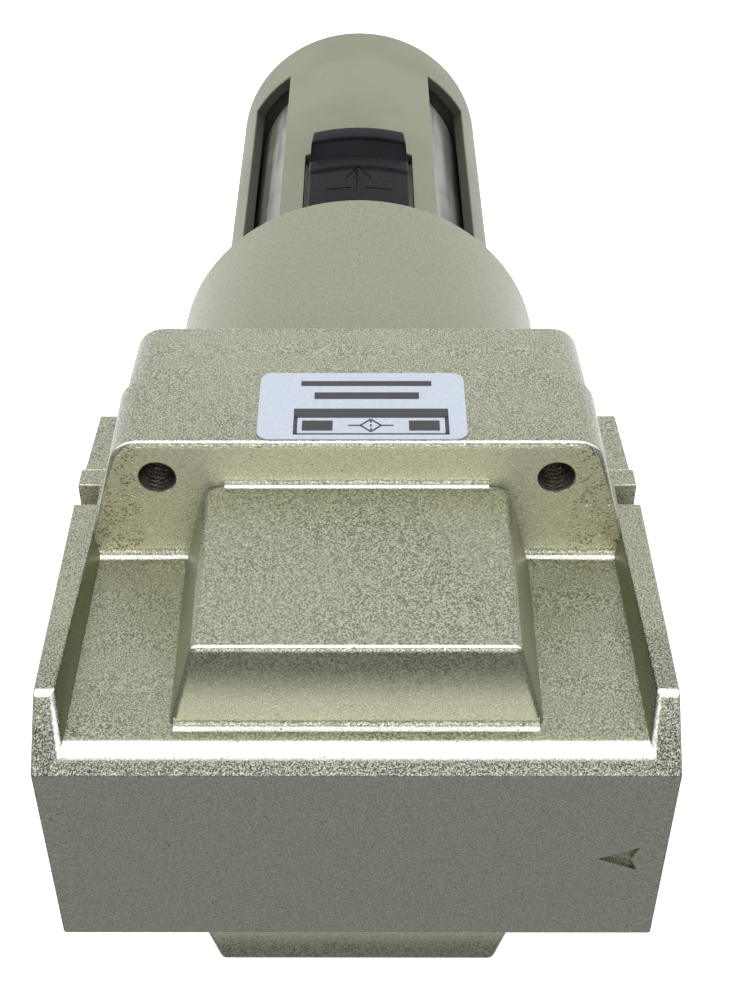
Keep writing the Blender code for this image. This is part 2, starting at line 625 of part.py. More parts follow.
def make_drain(brass, plastic, rubber, pivot):
    bowl_floor = BOWL_ROUND_Z - (BOWL_RADIUS - BOWL_WALL - BOWL_FLAT_RADIUS)
    flange_bottom = bowl_floor + 2.3
    flange_top = flange_bottom + 2.8
    seat = STEM_TOP + 1.5
    guide = [(2, flange_top), (DRAIN_FLANGE_RADIUS, flange_top), (DRAIN_FLANGE_RADIUS, flange_bottom)]
    guide += [(DRAIN_RADIUS, flange_bottom), (DRAIN_RADIUS, DRAIN_END), (DRAIN_BORE, DRAIN_END)]
    guide += [(DRAIN_BORE, seat - 1), (2, seat)]
    finish("drain_guide", lathe(guide), brass, parent=pivot)
    finish("drain_guide_o_ring", o_ring(9.8, 0.85, bowl_floor + 1.15), rubber, parent=pivot)
    nut_top = GUARD_BOTTOM - FIT
    nut = finish("drain_nut", prism(hexagon(21), nut_top - 5, nut_top), brass, parent=pivot)
    cut(nut, cylinder(DRAIN_RADIUS + FIT, nut_top - 8, nut_top + 3, INNER_STEPS), "hole")

    groove_top, groove_bottom = -196.0, -198.2
    stem = [(0, STEM_TOP), (2.2, STEM_TOP), (STEM_RADIUS, STEM_TOP - 0.9), (STEM_RADIUS, groove_top)]
    stem += [(2.1, groove_top), (2.1, groove_bottom), (STEM_RADIUS, groove_bottom)]
    stem += [(STEM_RADIUS, STEM_BOTTOM), (0, STEM_BOTTOM)]
    finish("drain_valve", lathe(stem, SMALL_STEPS), brass, (0, 0, STEM_BOTTOM), pivot)
    seal = o_ring(2.93, 0.5, (groove_top + groove_bottom) / 2, SMALL_STEPS)
    finish("drain_valve_o_ring", seal, rubber, (0, 0, STEM_BOTTOM), pivot)

    steps = KNOB_LOBES * 4
    bearings = [360 * i / steps for i in range(steps)]
    grip = [polar(KNOB_RADIUS + 0.5 * math.cos(math.radians(KNOB_LOBES * b)), b) for b in bearings]
    edge = [(x * 0.94, y * 0.94) for x, y in grip]
    sections = [(KNOB_BOTTOM, edge), (KNOB_BOTTOM + 0.8, grip), (KNOB_TOP - 0.8, grip), (KNOB_TOP, edge)]
    knob = finish("drain_knob", loft(sections), plastic, (0, 0, KNOB_BOTTOM), pivot)
    socket = [(0, KNOB_TOP + 2), (STEM_RADIUS + FIT, KNOB_TOP + 2), (STEM_RADIUS + FIT, STEM_BOTTOM - FIT)]
    socket += [(1.6, STEM_BOTTOM - FIT), (1.6, KNOB_BOTTOM - 2), (0, KNOB_BOTTOM - 2)]
    cut(knob, lathe(socket, SMALL_STEPS), "stem_hole")


def make_label(paper):
    left, right = LABEL_LEFT + LABEL_CORNER, LABEL_RIGHT - LABEL_CORNER
    low, high = LABEL_BOTTOM + LABEL_CORNER, LABEL_TOP - LABEL_CORNER
    outline = arc((right, high), LABEL_CORNER, 0, 90, 4) + arc((left, high), LABEL_CORNER, 90, 180, 4)
    outline += arc((left, low), LABEL_CORNER, 180, 270, 4) + arc((right, low), LABEL_CORNER, 270, 360, 4)
    back = -COLLAR_Y - PAPER_GAP
    finish("label", prism(outline, back - LABEL_THICKNESS, back, "y"), paper)


def main():
    for obj in list(bpy.data.objects):
        bpy.data.objects.remove(obj, do_unlink=True)
    cast_paint = material("cast_paint", (0.37, 0.37, 0.26), 0.42, 0.7)
    guard_paint = material("guard_paint", (0.33, 0.34, 0.26), 0.5, 0.5)
    dark_plastic = material("dark_plastic", (0.018, 0.02, 0.03), 0.4)
    pale_plastic = material("pale_plastic", (0.6, 0.6, 0.56), 0.5)
    clear_plastic = material("clear_plastic", (0.55, 0.56, 0.54), 0.2, alpha=0.4)
    media = material("filter_media", (0.75, 0.74, 0.68), 0.9)
    rubber = material("rubber", (0.02, 0.02, 0.02), 0.7)
    steel = material("steel", (0.5, 0.5, 0.5), 0.35, 1.0)
    brass = material("brass", (0.7, 0.55, 0.28), 0.35, 1.0)
    paper = material("label_paper", (0.66, 0.71, 0.76), 0.5)

    bayonet_axis = bpy.data.objects.new("bayonet_axis", None)
    bpy.context.scene.collection.objects.link(bayonet_axis)

    make_body(cast_paint)
    make_housing(cast_paint)
    make_fasteners(steel)
    make_housing_gasket(rubber)
    make_filter_stack(pale_plastic, media, rubber, steel)
    make_guard(guard_paint, bayonet_axis)
    make_bowl(clear_plastic, rubber, bayonet_axis)
    make_lock_button(dark_plastic, steel, bayonet_axis)
    make_drain(brass, dark_plastic, rubber, bayonet_axis)
    make_label(paper)


main()
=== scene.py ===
"""The looks of the compressed-air filter: painted die-cast head, bowl guard, clear bowl, lock button, drain.

Shapes are written in millimetres in the part's own frame (+Z up, the front faces -Y, origin where the port
axis crosses the bowl's axis) and turned into metres by piece(). Places are read from the CAD nodes' boxes.
"""

import math

import bmesh
import bpy
from mathutils import Matrix, Vector


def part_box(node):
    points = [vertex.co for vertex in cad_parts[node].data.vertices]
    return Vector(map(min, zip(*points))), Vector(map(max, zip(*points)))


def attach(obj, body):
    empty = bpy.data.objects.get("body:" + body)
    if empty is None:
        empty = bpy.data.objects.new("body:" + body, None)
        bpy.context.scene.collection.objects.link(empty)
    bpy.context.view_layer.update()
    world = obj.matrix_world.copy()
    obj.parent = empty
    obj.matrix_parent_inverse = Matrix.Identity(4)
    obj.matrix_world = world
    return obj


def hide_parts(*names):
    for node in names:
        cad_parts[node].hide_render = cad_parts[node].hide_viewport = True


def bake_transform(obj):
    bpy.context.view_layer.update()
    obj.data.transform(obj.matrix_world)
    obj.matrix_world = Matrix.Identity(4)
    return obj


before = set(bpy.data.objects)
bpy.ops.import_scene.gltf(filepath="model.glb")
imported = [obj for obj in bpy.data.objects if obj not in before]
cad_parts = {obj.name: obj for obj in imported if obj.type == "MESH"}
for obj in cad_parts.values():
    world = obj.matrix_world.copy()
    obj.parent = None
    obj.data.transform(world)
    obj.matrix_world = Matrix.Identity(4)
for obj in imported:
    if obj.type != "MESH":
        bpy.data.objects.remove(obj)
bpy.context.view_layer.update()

MM = 0.001
FRONT = -90.0  # bearing of the front, in degrees round +Z from +X


def cad(node):
    """A CAD node's lowest and highest corner, in millimetres."""
    low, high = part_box(node)
    return low / MM, high / MM


# ---------------------------------------------------------------- sizes, in millimetres

body_low, body_high = cad("body")
housing_low, housing_high = cad("housing")
guard_low, guard_high = cad("bowl_guard")
bowl_low, bowl_high = cad("bowl")
button_low, button_high = cad("lock_button")
label_low, label_high = cad("label")
knob_low, knob_high = cad("drain_knob")
nut_low, nut_high = cad("drain_nut")
guide_low, guide_high = cad("drain_guide")
spring_low, spring_high = cad("lock_spring")

HEAD_TOP = body_high.z
PORT_FACE_X = body_high.x
SEAM_Z = body_low.z
SHOULDER_Z = -18.0
FLANGE_Y = 26.0
TOP_HALF_Y = 18.35
CHAMFER_FOOT_Z = 15.2
COLLAR_Y = body_high.y
COLLAR_HALF_X = 36.1
COLLAR_ROOT_X = 40.9
COLLAR_CORNER = 4.5
PANEL_Y = 22.07  # at the shoulder
PANEL_DRAFT = 1.6  # degrees by which the panel leans back
# The wall beside the panel: its place by the panel, and at the flange's front.
PANEL_WALL_X = (40.1, COLLAR_ROOT_X)  # at the shoulder
PANEL_WALL_TOP_X = (40.85, 42.3)  # past the top
NOTCH_X = 41.4
NOTCH_TOP = -25.5
NOTCH_BOTTOM = -30.2
PAD_TOP = 17.0
PAD_Y = 36.1
PAD_HALF_X = (22.3, 22.9)  # of its face, at the top and at the foot
PAD_FLARE = 0.2637  # by which its flanks widen for each millimetre towards its root
PAD_CORNER = 2.6

PORT_RADIUS = 12.25
PORT_DEPTH = 18.0
PORT_PITCH = 1.814
WAY_RADIUS = 9.0
CHAMBER_RADIUS = 26.0
CHAMBER_TOP = -12.5
STANDPIPE_RADIUS = 13.5
STANDPIPE_END = -28.0
INLET_WELL = ((-26.5, -14.7), (-8.2, 8.2), (CHAMBER_TOP - 4, 3))  # joins the inlet way to the chamber
ROD_HOLE_RADIUS = 3.3
SCREW_X = 30.0
SCREW_Y = 37.4
TAPPED_RADIUS = 2.62
TAPPED_PITCH = 1.0
TAPPED_MOUTH = 3.1
FLOW_ARROW = [(-35.0, 0), (-41.0, 2.6), (-39.9, 0), (-41.0, -2.6)]  # tip, barb, notch, barb
FLOW_ARROW_DEPTH = 0.8

PLATE_BOTTOM = -50.4
SKIRT_RADIUS = 36.07
SKIRT_BORE = 32.4
SKIRT_RIM = housing_low.z
COUNTERBORE_RADIUS = 4.7
COUNTERBORE_END = -41.5
SCREW_CLEARANCE = 3.3
THROAT_RADIUS = 24.5
THROAT_END = -44.0
NECK_BORE = 28.2
NECK_BORE_END = -57.0
GASKET_GROOVE = (28.75, 31.25)  # inner and outer radius
HOUSING_LUGS = (29.4, SKIRT_BORE + 1, -76.5, -71)  # inner and outer radius, low and high

GUARD_RADIUS = 28.9
GUARD_BORE = 26.5
GUARD_TOP = -62.3
GUARD_LUGS = (GUARD_RADIUS - 1, 31.9, -70.7, -64.7)  # inner and outer radius, low and high
DRAIN_HOLE = 8.1
SLOT_START = 34.5  # degrees from the front, or from the back
SLOT_END = 59.0
SLOT_TOP = -112.0
SLOT_BOTTOM = -187.3
WINDOW_HALF_X = 11.4
WINDOW_BOTTOM = -137.5
WINDOW_FOOT = -142.0  # of the opening that shows beside the button's lip
WINDOW_TOP = -84.0
BUTTON_HALF_X = 10.4
BUTTON_FACE = 29.8
BUTTON_BACK = 24.5
LIP_TOP = -139.1
LIP_FACE = 32.15
LEDGE_TOP = -135.2
BUTTON_PLATE_TOP = -92.0
SPRING_POCKET_TOP = -122.0


# ---------------------------------------------------------------- outlines and solids

def polar(radius, degrees):
    angle = math.radians(degrees)
    return radius * math.cos(angle), radius * math.sin(angle)


def arc(centre, radius, start, end, steps):
    """Points along an arc from bearing start to bearing end, both included."""
    bearings = [start + (end - start) * i / steps for i in range(steps + 1)]
    return [(centre[0] + x, centre[1] + y) for x, y in (polar(radius, b) for b in bearings)]


def rectangle(left, right, low, high):
    return [(left, low), (right, low), (right, high), (left, high)]


def loft(sections, axis="z"):
    """A closed solid through outlines of equal length: sections is a list of (place along axis, outline)."""
    place = {
        "x": lambda a, p: (a, p[0], p[1]),
        "y": lambda a, p: (p[0], a, p[1]),
        "z": lambda a, p: (p[0], p[1], a),
    }[axis]
    bm = bmesh.new()
    rings = [[bm.verts.new(place(a, p)) for p in outline] for a, outline in sections]
    for low, high in zip(rings, rings[1:]):
        for i in range(len(low)):
            j = (i + 1) % len(low)
            bm.faces.new((low[i], low[j], high[j], high[i]))
    bm.faces.new(rings[0])
    bm.faces.new(rings[-1])
    bmesh.ops.recalc_face_normals(bm, faces=bm.faces)
    return bm


def prism(outline, low, high, axis="z"):
    return loft([(low, outline), (high, outline)], axis)


def box(x, y, z):
    return prism(rectangle(*x, *y), *z)


def sector(inner, outer, middle, half_angle, low, high, steps=16):
    """A stretch of a ring, centred on the bearing middle."""
    start, end = middle - half_angle, middle + half_angle
    outline = arc((0, 0), outer, start, end, steps) + arc((0, 0), inner, end, start, steps)
    return prism(outline, low, high)


def lathe(profile, steps=96, axis="z", radius_at=None):
    """A closed profile of (radius, height) turned about an axis, shaped by radius_at if it is given."""
    bm = bmesh.new()
    columns = []
    for radius, height in profile:
        ring = []
        for i in range(steps if radius > 0 else 1):
            bearing = 360 * i / steps
            shaped = radius_at(radius, height, bearing) if radius_at and radius > 0 else radius
            u, v = polar(shaped, bearing)
            ring.append(bm.verts.new((u, v, height) if axis == "z" else (height, u, v)))
        columns.append(ring)
    for first, second in zip(columns, columns[1:] + columns[:1]):
        if len(first) == len(second) == 1:
            continue
        for i in range(steps):
            j = (i + 1) % steps
            corners = [first[i % len(first)], first[j % len(first)]]
            corners += [second[j % len(second)], second[i % len(second)]]
            bm.faces.new(list(dict.fromkeys(corners)))
    bmesh.ops.recalc_face_normals(bm, faces=bm.faces)
    return bm


def cylinder(radius, low, high, steps=48):
    return lathe([(0, low), (radius, low), (radius, high), (0, high)], steps)


def tube(inner, outer, low, high):
    return lathe([(outer, low), (outer, high), (inner, high), (inner, low)])


def rounded(centre, radius, start, end):
    """The points of a round edge in a profile."""
    return arc(centre, radius, start, end, 4)


def tapped(core, pitch, depth, low, high, steps=48, rows_per_turn=8, axis="z", at=(0, 0)):
    """The space inside a tapped hole: a cylinder whose wall winds a V thread of the given depth."""
    rows = round((high - low) / pitch * rows_per_turn)
    wall = [(core, low + (high - low) * i / rows) for i in range(rows + 1)]
    profile = [(0, low)] + wall + [(0, high)]

    def thread(radius, height, bearing):
        turn = (height - low) / pitch - bearing / 360
        saw = abs((turn % 1.0) * 2 - 1)  # 0 at the crest and 1 at the root
        return radius + depth * saw

    return moved(lathe(profile, steps, axis, radius_at=thread), at)


def hexagon(across_flats):
    return [polar(across_flats / math.sqrt(3), 60 * i) for i in range(6)]


def moved(bm, at):
    """The shape, shifted sideways."""
    bmesh.ops.translate(bm, verts=bm.verts, vec=(*at, 0))
    return bm


def combined(shapes):
    """One bmesh that holds several closed shapes side by side."""
    whole = bmesh.new()
    for shape in shapes:
        mesh = bpy.data.meshes.new("copy")
        shape.to_mesh(mesh)
        whole.from_mesh(mesh)
        bpy.data.meshes.remove(mesh)
    return whole


# ---------------------------------------------------------------- working on objects

def raw(name, bm):
    """A working object, in millimetres."""
    mesh = bpy.data.meshes.new(name)
    bm.to_mesh(mesh)
    bm.free()
    obj = bpy.data.objects.new(name, mesh)
    bpy.context.scene.collection.objects.link(obj)
    return obj


def shape_of(obj):
    """The shape of a working object, which goes."""
    bm = bmesh.new()
    bm.from_mesh(obj.data)
    bpy.data.objects.remove(obj)
    return bm


def apply_modifiers(obj):
    bpy.context.view_layer.update()
    graph = bpy.context.evaluated_depsgraph_get()
    mesh = bpy.data.meshes.new_from_object(obj.evaluated_get(graph))
    obj.modifiers.clear()
    old, obj.data = obj.data, mesh
    bpy.data.meshes.remove(old)


def boolean(obj, bm, operation):
    """Combines bm with obj at once."""
    helper = raw("helper", bm)
    modifier = obj.modifiers.new("boolean", "BOOLEAN")
    modifier.operation = operation
    modifier.solver = "EXACT"
    modifier.object = helper
    apply_modifiers(obj)
    mesh = helper.data
    bpy.data.objects.remove(helper)
    bpy.data.meshes.remove(mesh)


def cut(obj, bm):
    boolean(obj, bm, "DIFFERENCE")


def join(obj, bm):
    boolean(obj, bm, "UNION")


def merge_flat(obj, degrees=1.0):
    """Joins neighbouring faces that lie in one plane, so that a bevel sees clean edges."""
    bm = bmesh.new()
    bm.from_mesh(obj.data)
    bmesh.ops.remove_doubles(bm, verts=bm.verts, dist=0.001)
    bmesh.ops.dissolve_limit(bm, angle_limit=math.radians(degrees), verts=bm.verts, edges=bm.edges)
    bm.to_mesh(obj.data)
    bm.free()


def round_edges(obj, width_of, segments=3, least_angle=12.0):
    """Rounds each outward edge whose faces meet at over least_angle by width_of(edge), in millimetres."""
    bm = bmesh.new()
    bm.from_mesh(obj.data)
    weights = bm.edges.layers.float.new("bevel_weight_edge")
    least = math.radians(least_angle)
    chosen = {}
    for edge in bm.edges:
        if len(edge.link_faces) == 2 and edge.is_convex and edge.calc_face_angle(0) > least:
            chosen[edge] = width_of(edge)
    widest = max(chosen.values())
    for edge, width in chosen.items():
        edge[weights] = width / widest
    bm.to_mesh(obj.data)
    bm.free()
    bevel = obj.modifiers.new("round", "BEVEL")
    bevel.width = widest
    bevel.segments = segments
    bevel.limit_method = "WEIGHT"
    bevel.offset_type = "OFFSET"
    bevel.miter_outer = "MITER_ARC"
    bevel.use_clamp_overlap = False
    apply_modifiers(obj)


def piece(obj, material, body, slot, *nodes, flat_weight=True, sharp=35):
    """Turns a working object into a finished piece: metres, normals, material, and its place in the frame."""
    obj.data.transform(Matrix.Scale(MM, 4))
    obj.data.materials.clear()
    obj.data.materials.append(material)
    obj.data.shade_smooth()
    obj.data.set_sharp_from_angle(angle=math.radians(sharp))
    if flat_weight:
        weighted = obj.modifiers.new("normals", "WEIGHTED_NORMAL")
        weighted.keep_sharp = True
        weighted.weight = 100
    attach(obj, body)
    if nodes:
        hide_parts(*nodes)


# ---------------------------------------------------------------- materials

def colour(code):
    """An sRGB hex code as linear RGBA."""
    channels = [int(code[i:i + 2], 16) / 255 for i in (0, 2, 4)]
    linear = [c / 12.92 if c <= 0.04045 else ((c + 0.055) / 1.055) ** 2.4 for c in channels]
    return (*linear, 1.0)


class Look:
    """A procedural material. Its patterns read the piece's own coordinates, in millimetres."""

    def __init__(self, name, **shader):
        self.material = bpy.data.materials.new(name)
        self.material.use_nodes = True
        self.nodes = self.material.node_tree.nodes
        self.nodes.clear()
        constants = {name.replace("_", " "): value for name, value in shader.items()}
        self.shader = self.add("ShaderNodeBsdfPrincipled", constants)
        self.add("ShaderNodeOutputMaterial", {"Surface": self.shader.outputs[0]})
        self.coordinates = self.add("ShaderNodeTexCoord")
        scaling = {0: self.coordinates.outputs["Object"], "Scale": 1 / MM}
        self.place = self.add("ShaderNodeVectorMath", scaling, operation="SCALE").outputs[0]

    def add(self, kind, inputs=None, **settings):
        node = self.nodes.new(kind)
        for name, value in settings.items():
            setattr(node, name, value)
        for socket, value in (inputs or {}).items():
            if isinstance(value, bpy.types.NodeSocket):
                self.material.node_tree.links.new(value, node.inputs[socket])
            else:
                node.inputs[socket].default_value = value
        return node

    def set(self, socket, value):
        self.material.node_tree.links.new(value, self.shader.inputs[socket])

    def stretched(self, x, y, z):
        """The coordinates, scaled differently along each axis."""
        inputs = {0: self.place, 1: (x, y, z)}
        return self.add("ShaderNodeVectorMath", inputs, operation="MULTIPLY").outputs[0]

    def axis(self, letter):
        return self.add("ShaderNodeSeparateXYZ", {0: self.place}).outputs[letter]

    def facing(self, letter):
        """How far the surface faces along an axis, from -1 to 1, in the piece's own frame."""
        normal = self.coordinates.outputs["Normal"]
        return self.add("ShaderNodeSeparateXYZ", {0: normal}).outputs[letter]

    def noise(self, per_mm, detail=2.0, place=None):
        inputs = {"Vector": place or self.place, "Scale": per_mm, "Detail": detail}
        return self.add("ShaderNodeTexNoise", inputs).outputs["Fac"]

    def cells(self, per_mm, output="Distance"):
        return self.add("ShaderNodeTexVoronoi", {"Vector": self.place, "Scale": per_mm}).outputs[output]

    def maths(self, operation, a, b=0.0):
        return self.add("ShaderNodeMath", {0: a, 1: b}, operation=operation).outputs[0]

    def both(self, a, b):
        return self.maths("MULTIPLY", a, b)

    def size(self, a):
        return self.maths("ABSOLUTE", a)

    def distance(self, a, b):
        """The length of a flat vector."""
        squares = [self.both(offset, offset) for offset in (a, b)]
        return self.maths("SQRT", self.maths("ADD", *squares))

    def ramp(self, value, start, end, low=0.0, high=1.0):
        """Goes smoothly from low to high as value goes from start to end."""
        inputs = {"Value": value, "From Min": start, "From Max": end, "To Min": low, "To Max": high}
        return self.add("ShaderNodeMapRange", inputs, interpolation_type="SMOOTHSTEP").outputs[0]

    def mix(self, factor, a, b):
        """The colour a, or b where the factor is 1."""
        return self.add("ShaderNodeMix", {0: factor, 6: a, 7: b}, data_type="RGBA").outputs[2]

    def bump(self, height, depth, below=None):
        """A normal from a height; depth is in millimetres."""
        inputs = {"Height": height, "Strength": 1.0, "Distance": depth * MM}
        if below:
            inputs["Normal"] = below
        return self.add("ShaderNodeBump", inputs).outputs[0]


def cast_paint():
    """Champagne metallic paint over a sand-textured die casting, bare and greyer on the machined top."""
    look = Look("cast_paint", Metallic=0.8, Coat_Weight=0.2, Coat_Roughness=0.25)
    grain = look.noise(4.2, 2.0)
    coarse = look.noise(1.3, 2.0)
    drift = look.noise(0.06, 2.0)

    up = look.facing("Z")
    outward = look.size(look.facing("X"))
    height = look.axis("Z")
    across = look.size(look.axis("X"))
    depth = look.size(look.axis("Y"))
    top = look.both(look.ramp(up, 0.9, 0.99), look.ramp(height, HEAD_TOP - 1.2, HEAD_TOP - 0.4))
    level = look.ramp(up, 0.93, 0.99)
    shoulder = look.both(level, look.ramp(height, SHOULDER_Z + 2, SHOULDER_Z + 0.5))
    flank = look.both(look.ramp(outward, 0.75, 0.95), look.ramp(across, 44.6, 44.2))
    flank = look.both(flank, look.ramp(height, SHOULDER_Z - 1, SHOULDER_Z))
    smooth = look.maths("MAXIMUM", flank, look.both(top, 0.8))

    paint = look.mix(look.ramp(grain, 0.4, 0.6), colour("56584A"), colour("999B88"))
    paint = look.mix(look.ramp(drift, 0.35, 0.65, 0.0, 0.3), paint, colour("8C8C78"))
    # The level shoulder is painted lighter and yellow: painted reflection of the panel's paint.
    painted_bounce_yellow = look.mix(look.ramp(across, 22, 40), colour("E6E4CA"), colour("D6D1B0"))
    paint = look.mix(look.both(shoulder, 0.6), paint, painted_bounce_yellow)
    # The ledge over the pad is painted lighter and warmer towards its root: painted reflection of the panel's
    # paint.
    ledge = look.both(level, look.ramp(depth, 33.5, 25.0))
    ledge = look.both(ledge, look.maths("COMPARE", height, PAD_TOP))
    paint = look.mix(look.both(ledge, 0.7), paint, colour("E0DEC2"))
    # The walls beside the panel are painted olive: painted reflection of the paint around them.
    paint = look.mix(look.both(flank, 0.6), paint, colour("93936F"))
    # The sand texture shows strongest on the chamfers and on the level faces, speckled bright and dark:
    # partly real grain, partly painted glints.
    forward = look.size(look.facing("Y"))
    chamfer = look.ramp(look.both(up, forward), 0.38, 0.46)
    chamfer = look.both(chamfer, look.ramp(height, 18.6, 19.2))
    lumpy = look.both(look.ramp(height, -4, 14), look.ramp(across, 40.6, 41.4))
    chamfer = look.maths("MAXIMUM", chamfer, look.both(lumpy, 0.6))
    speckle = look.mix(look.ramp(grain, 0.42, 0.58), colour("2A2A24"), colour("84847A"))
    paint = look.mix(look.both(chamfer, 0.8), paint, speckle)
    # The skirt is cast smooth.
    skirt = look.ramp(height, PLATE_BOTTOM - 0.2, PLATE_BOTTOM - 1.4)
    smooth = look.maths("MAXIMUM", smooth, look.both(skirt, 0.9))
    even = look.mix(look.ramp(grain, 0.3, 0.7), colour("70725E"), colour("7E806B"))
    paint = look.mix(look.both(skirt, 0.9), paint, even)
    # Fillets between upright and level faces are painted bright: a painted highlight along them.
    painted_fillet_highlight = look.both(look.ramp(up, 0.12, 0.28), look.ramp(up, 0.64, 0.52))
    painted_fillet_highlight = look.both(painted_fillet_highlight, look.ramp(forward, 0.55, 0.75))
    paint = look.mix(look.both(painted_fillet_highlight, 0.8), paint, colour("F2F2EC"))
    raw_grey = look.mix(look.ramp(grain, 0.38, 0.62), colour("87867B"), colour("A5A497"))
    paint = look.mix(top, paint, raw_grey)

    pores = look.ramp(look.cells(0.9), 0.16, 0.08)
    pores = look.both(pores, look.ramp(look.noise(0.2, 1.0), 0.56, 0.7))
    # The casting is porous on the shoulder, outside the tapped holes.
    pitted = look.both(shoulder, look.ramp(across, 31.5, 34.5))
    pitted = look.both(pitted, look.ramp(look.noise(0.5, 1.0), 0.35, 0.55))
    pits = look.both(look.ramp(look.cells(1.9), 0.4, 0.2), pitted)
    sunk = look.maths("MAXIMUM", pores, pits)
    # The pores and pits are real, and their dark colour is painted shade inside them.
    paint = look.mix(look.both(sunk, 0.6), paint, colour("35341F"))

    # The walls of the tapped holes are painted dark: painted shade inside the holes.
    across_hole = look.maths("SUBTRACT", across, SCREW_X)
    along_hole = look.maths("SUBTRACT", depth, SCREW_Y)
    near_hole = look.ramp(look.distance(across_hole, along_hole), TAPPED_MOUTH + 0.15, TAPPED_MOUTH)
    hole_shade = look.both(near_hole, look.ramp(height, SHOULDER_Z - 0.1, SHOULDER_Z - 0.3))
    paint = look.mix(hole_shade, paint, colour("3E382E"))
    look.set("Base Color", paint)

    # Flakes of metal in the paint each shine differently.
    flake = look.add("ShaderNodeSeparateXYZ", {0: look.cells(5.0, "Color")}).outputs["X"]
    gloss = look.maths("ADD", look.ramp(flake, 0.0, 1.0, 0.24, 0.4), look.both(smooth, 0.1))
    look.set("Roughness", gloss)
    # Where the flange front rounds into the chamfer the cast skin is lumpy.
    lumps = look.both(look.noise(1.1, 2.0), look.both(lumpy, 3.0))
    sand = look.maths("ADD", grain, look.both(coarse, 0.5))
    sand = look.both(sand, look.ramp(smooth, 0.0, 1.0, 1.0, 0.22))
    normal = look.bump(look.maths("ADD", sand, lumps), 0.1)
    normal = look.bump(look.maths("SUBTRACT", 1.0, sunk), 0.35, normal)
    look.set("Normal", normal)
    return look.material


def guard_paint():
    """The same paint on a smoother surface: matte, with a fine even grain."""
    look = Look("guard_paint", Metallic=0.5)
    grain = look.noise(4.5, 2.0)
    drift = look.noise(0.05, 2.0)
    paint = look.mix(look.ramp(grain, 0.3, 0.7), colour("636553"), colour("787A66"))
    paint = look.mix(look.ramp(drift, 0.35, 0.65), paint, look.mix(0.35, paint, colour("868870")))
    specks = look.ramp(look.cells(0.5), 0.07, 0.04)
    specks = look.both(specks, look.ramp(look.noise(0.3, 1.0), 0.58, 0.66))
    paint = look.mix(look.both(specks, 0.6), paint, colour("E4E4D8"))
    # The cut edges of the slots and the inside are painted dark: painted shade in the slots and in the gap
    # between guard and bowl.
    radius = look.distance(look.axis("X"), look.axis("Y"))
    inside = look.both(look.ramp(radius, GUARD_RADIUS - 0.2, GUARD_RADIUS - 0.4),
                       look.ramp(look.axis("Z"), guard_low.z + 2.6, guard_low.z + 3.4))
    look.set("Base Color", look.mix(inside, paint, colour("2E2D24")))
    look.set("Metallic", look.ramp(inside, 0.0, 1.0, 0.5, 0.1))
    look.set("Roughness", look.ramp(grain, 0.3, 0.7, 0.46, 0.58))
    look.set("Normal", look.bump(grain, 0.05))
    return look.material


def moulded(name, dark, light, roughness, grain_depth=0.03, **shader):
    """Moulded plastic or rubber: a fine spark-eroded grain and slow drifts of tone."""
    look = Look(name, **shader)
    grain = look.noise(3.5, 3.0)
    drift = look.noise(0.12, 2.0)
    look.set("Base Color", look.mix(look.ramp(drift, 0.3, 0.7), colour(dark), colour(light)))
    look.set("Roughness", look.ramp(grain, 0.3, 0.7, roughness - 0.06, roughness + 0.08))
    look.set("Normal", look.bump(grain, grain_depth))
    return look.material


def turned_metal(name, dark, light, roughness):
    """Bar metal from a lathe: fine rings of tool marks up the axis, and slight staining."""
    look = Look(name, Metallic=1.0)
    marks = look.noise(1.0, 2.0, look.stretched(0.25, 0.25, 9.0))
    stain = look.noise(0.35, 3.0)
    look.set("Base Color", look.mix(look.ramp(stain, 0.3, 0.7), colour(dark), colour(light)))
    look.set("Roughness", look.ramp(marks, 0.3, 0.7, roughness - 0.08, roughness + 0.12))
    look.set("Normal", look.bump(marks, 0.03))
    return look.material


def clear_plastic():
    """A hazy polycarbonate bowl with soft streaks that run down it."""
    look = Look("clear_plastic", Transmission_Weight=0.12, IOR=1.5)
    streaks = look.noise(0.5, 2.0, look.stretched(1.0, 1.0, 0.06))
    haze = look.noise(0.12, 2.0)
    tone = look.both(streaks, look.ramp(haze, 0.2, 0.8, 0.75, 1.15))
    look.set("Base Color", look.mix(look.ramp(tone, 0.3, 0.65), colour("74746E"), colour("9C9C96")))
    look.set("Roughness", look.ramp(streaks, 0.3, 0.7, 0.34, 0.48))
    look.set("Normal", look.bump(look.noise(0.3, 2.0, look.stretched(1.0, 1.0, 0.2)), 0.06))
    return look.material


def filter_media():
    """Sintered resin: packed grains."""
    look = Look("filter_media", Roughness=0.95)
    grains = look.cells(1.6)
    look.set("Base Color", look.mix(look.ramp(grains, 0.1, 0.6), colour("E6E3D6"), colour("BDB8A6")))
    look.set("Normal", look.bump(look.maths("SUBTRACT", 1.0, grains), 0.3))
    return look.material


def label_paper(name, dark, light, roughness):
    """Coated label stock: faint fibre mottling under a satin film."""
    look = Look(name)
    fibres = look.noise(1.5, 4.0)
    look.set("Base Color", look.mix(look.ramp(fibres, 0.3, 0.7), colour(dark), colour(light)))
    look.set("Roughness", look.ramp(fibres, 0.3, 0.7, roughness - 0.05, roughness + 0.08))
    look.set("Normal", look.bump(fibres, 0.01))
    return look.material


CAST_PAINT = cast_paint()
GUARD_PAINT = guard_paint()
BLACK_PLASTIC = moulded("dark_plastic", "090A0E", "0E1015", 0.3, 0.015, Specular_IOR_Level=0.04)
PALE_PLASTIC = moulded("pale_plastic", "C2C1B6", "D2D1C8", 0.5)
RUBBER = moulded("rubber", "141414", "1E1E1E", 0.65, 0.05)
STEEL = turned_metal("steel", "8E8E8C", "C9C9C6", 0.32)
BRASS = turned_metal("brass", "A98B4C", "D9BC78", 0.3)
CLEAR_PLASTIC = clear_plastic()
FILTER_MEDIA = filter_media()
LABEL_PAPER = label_paper("label_paper", "9AA2AD", "A3AAB4", 0.42)
LABEL_INK = label_paper("label_ink", "08090B", "101114", 0.4)

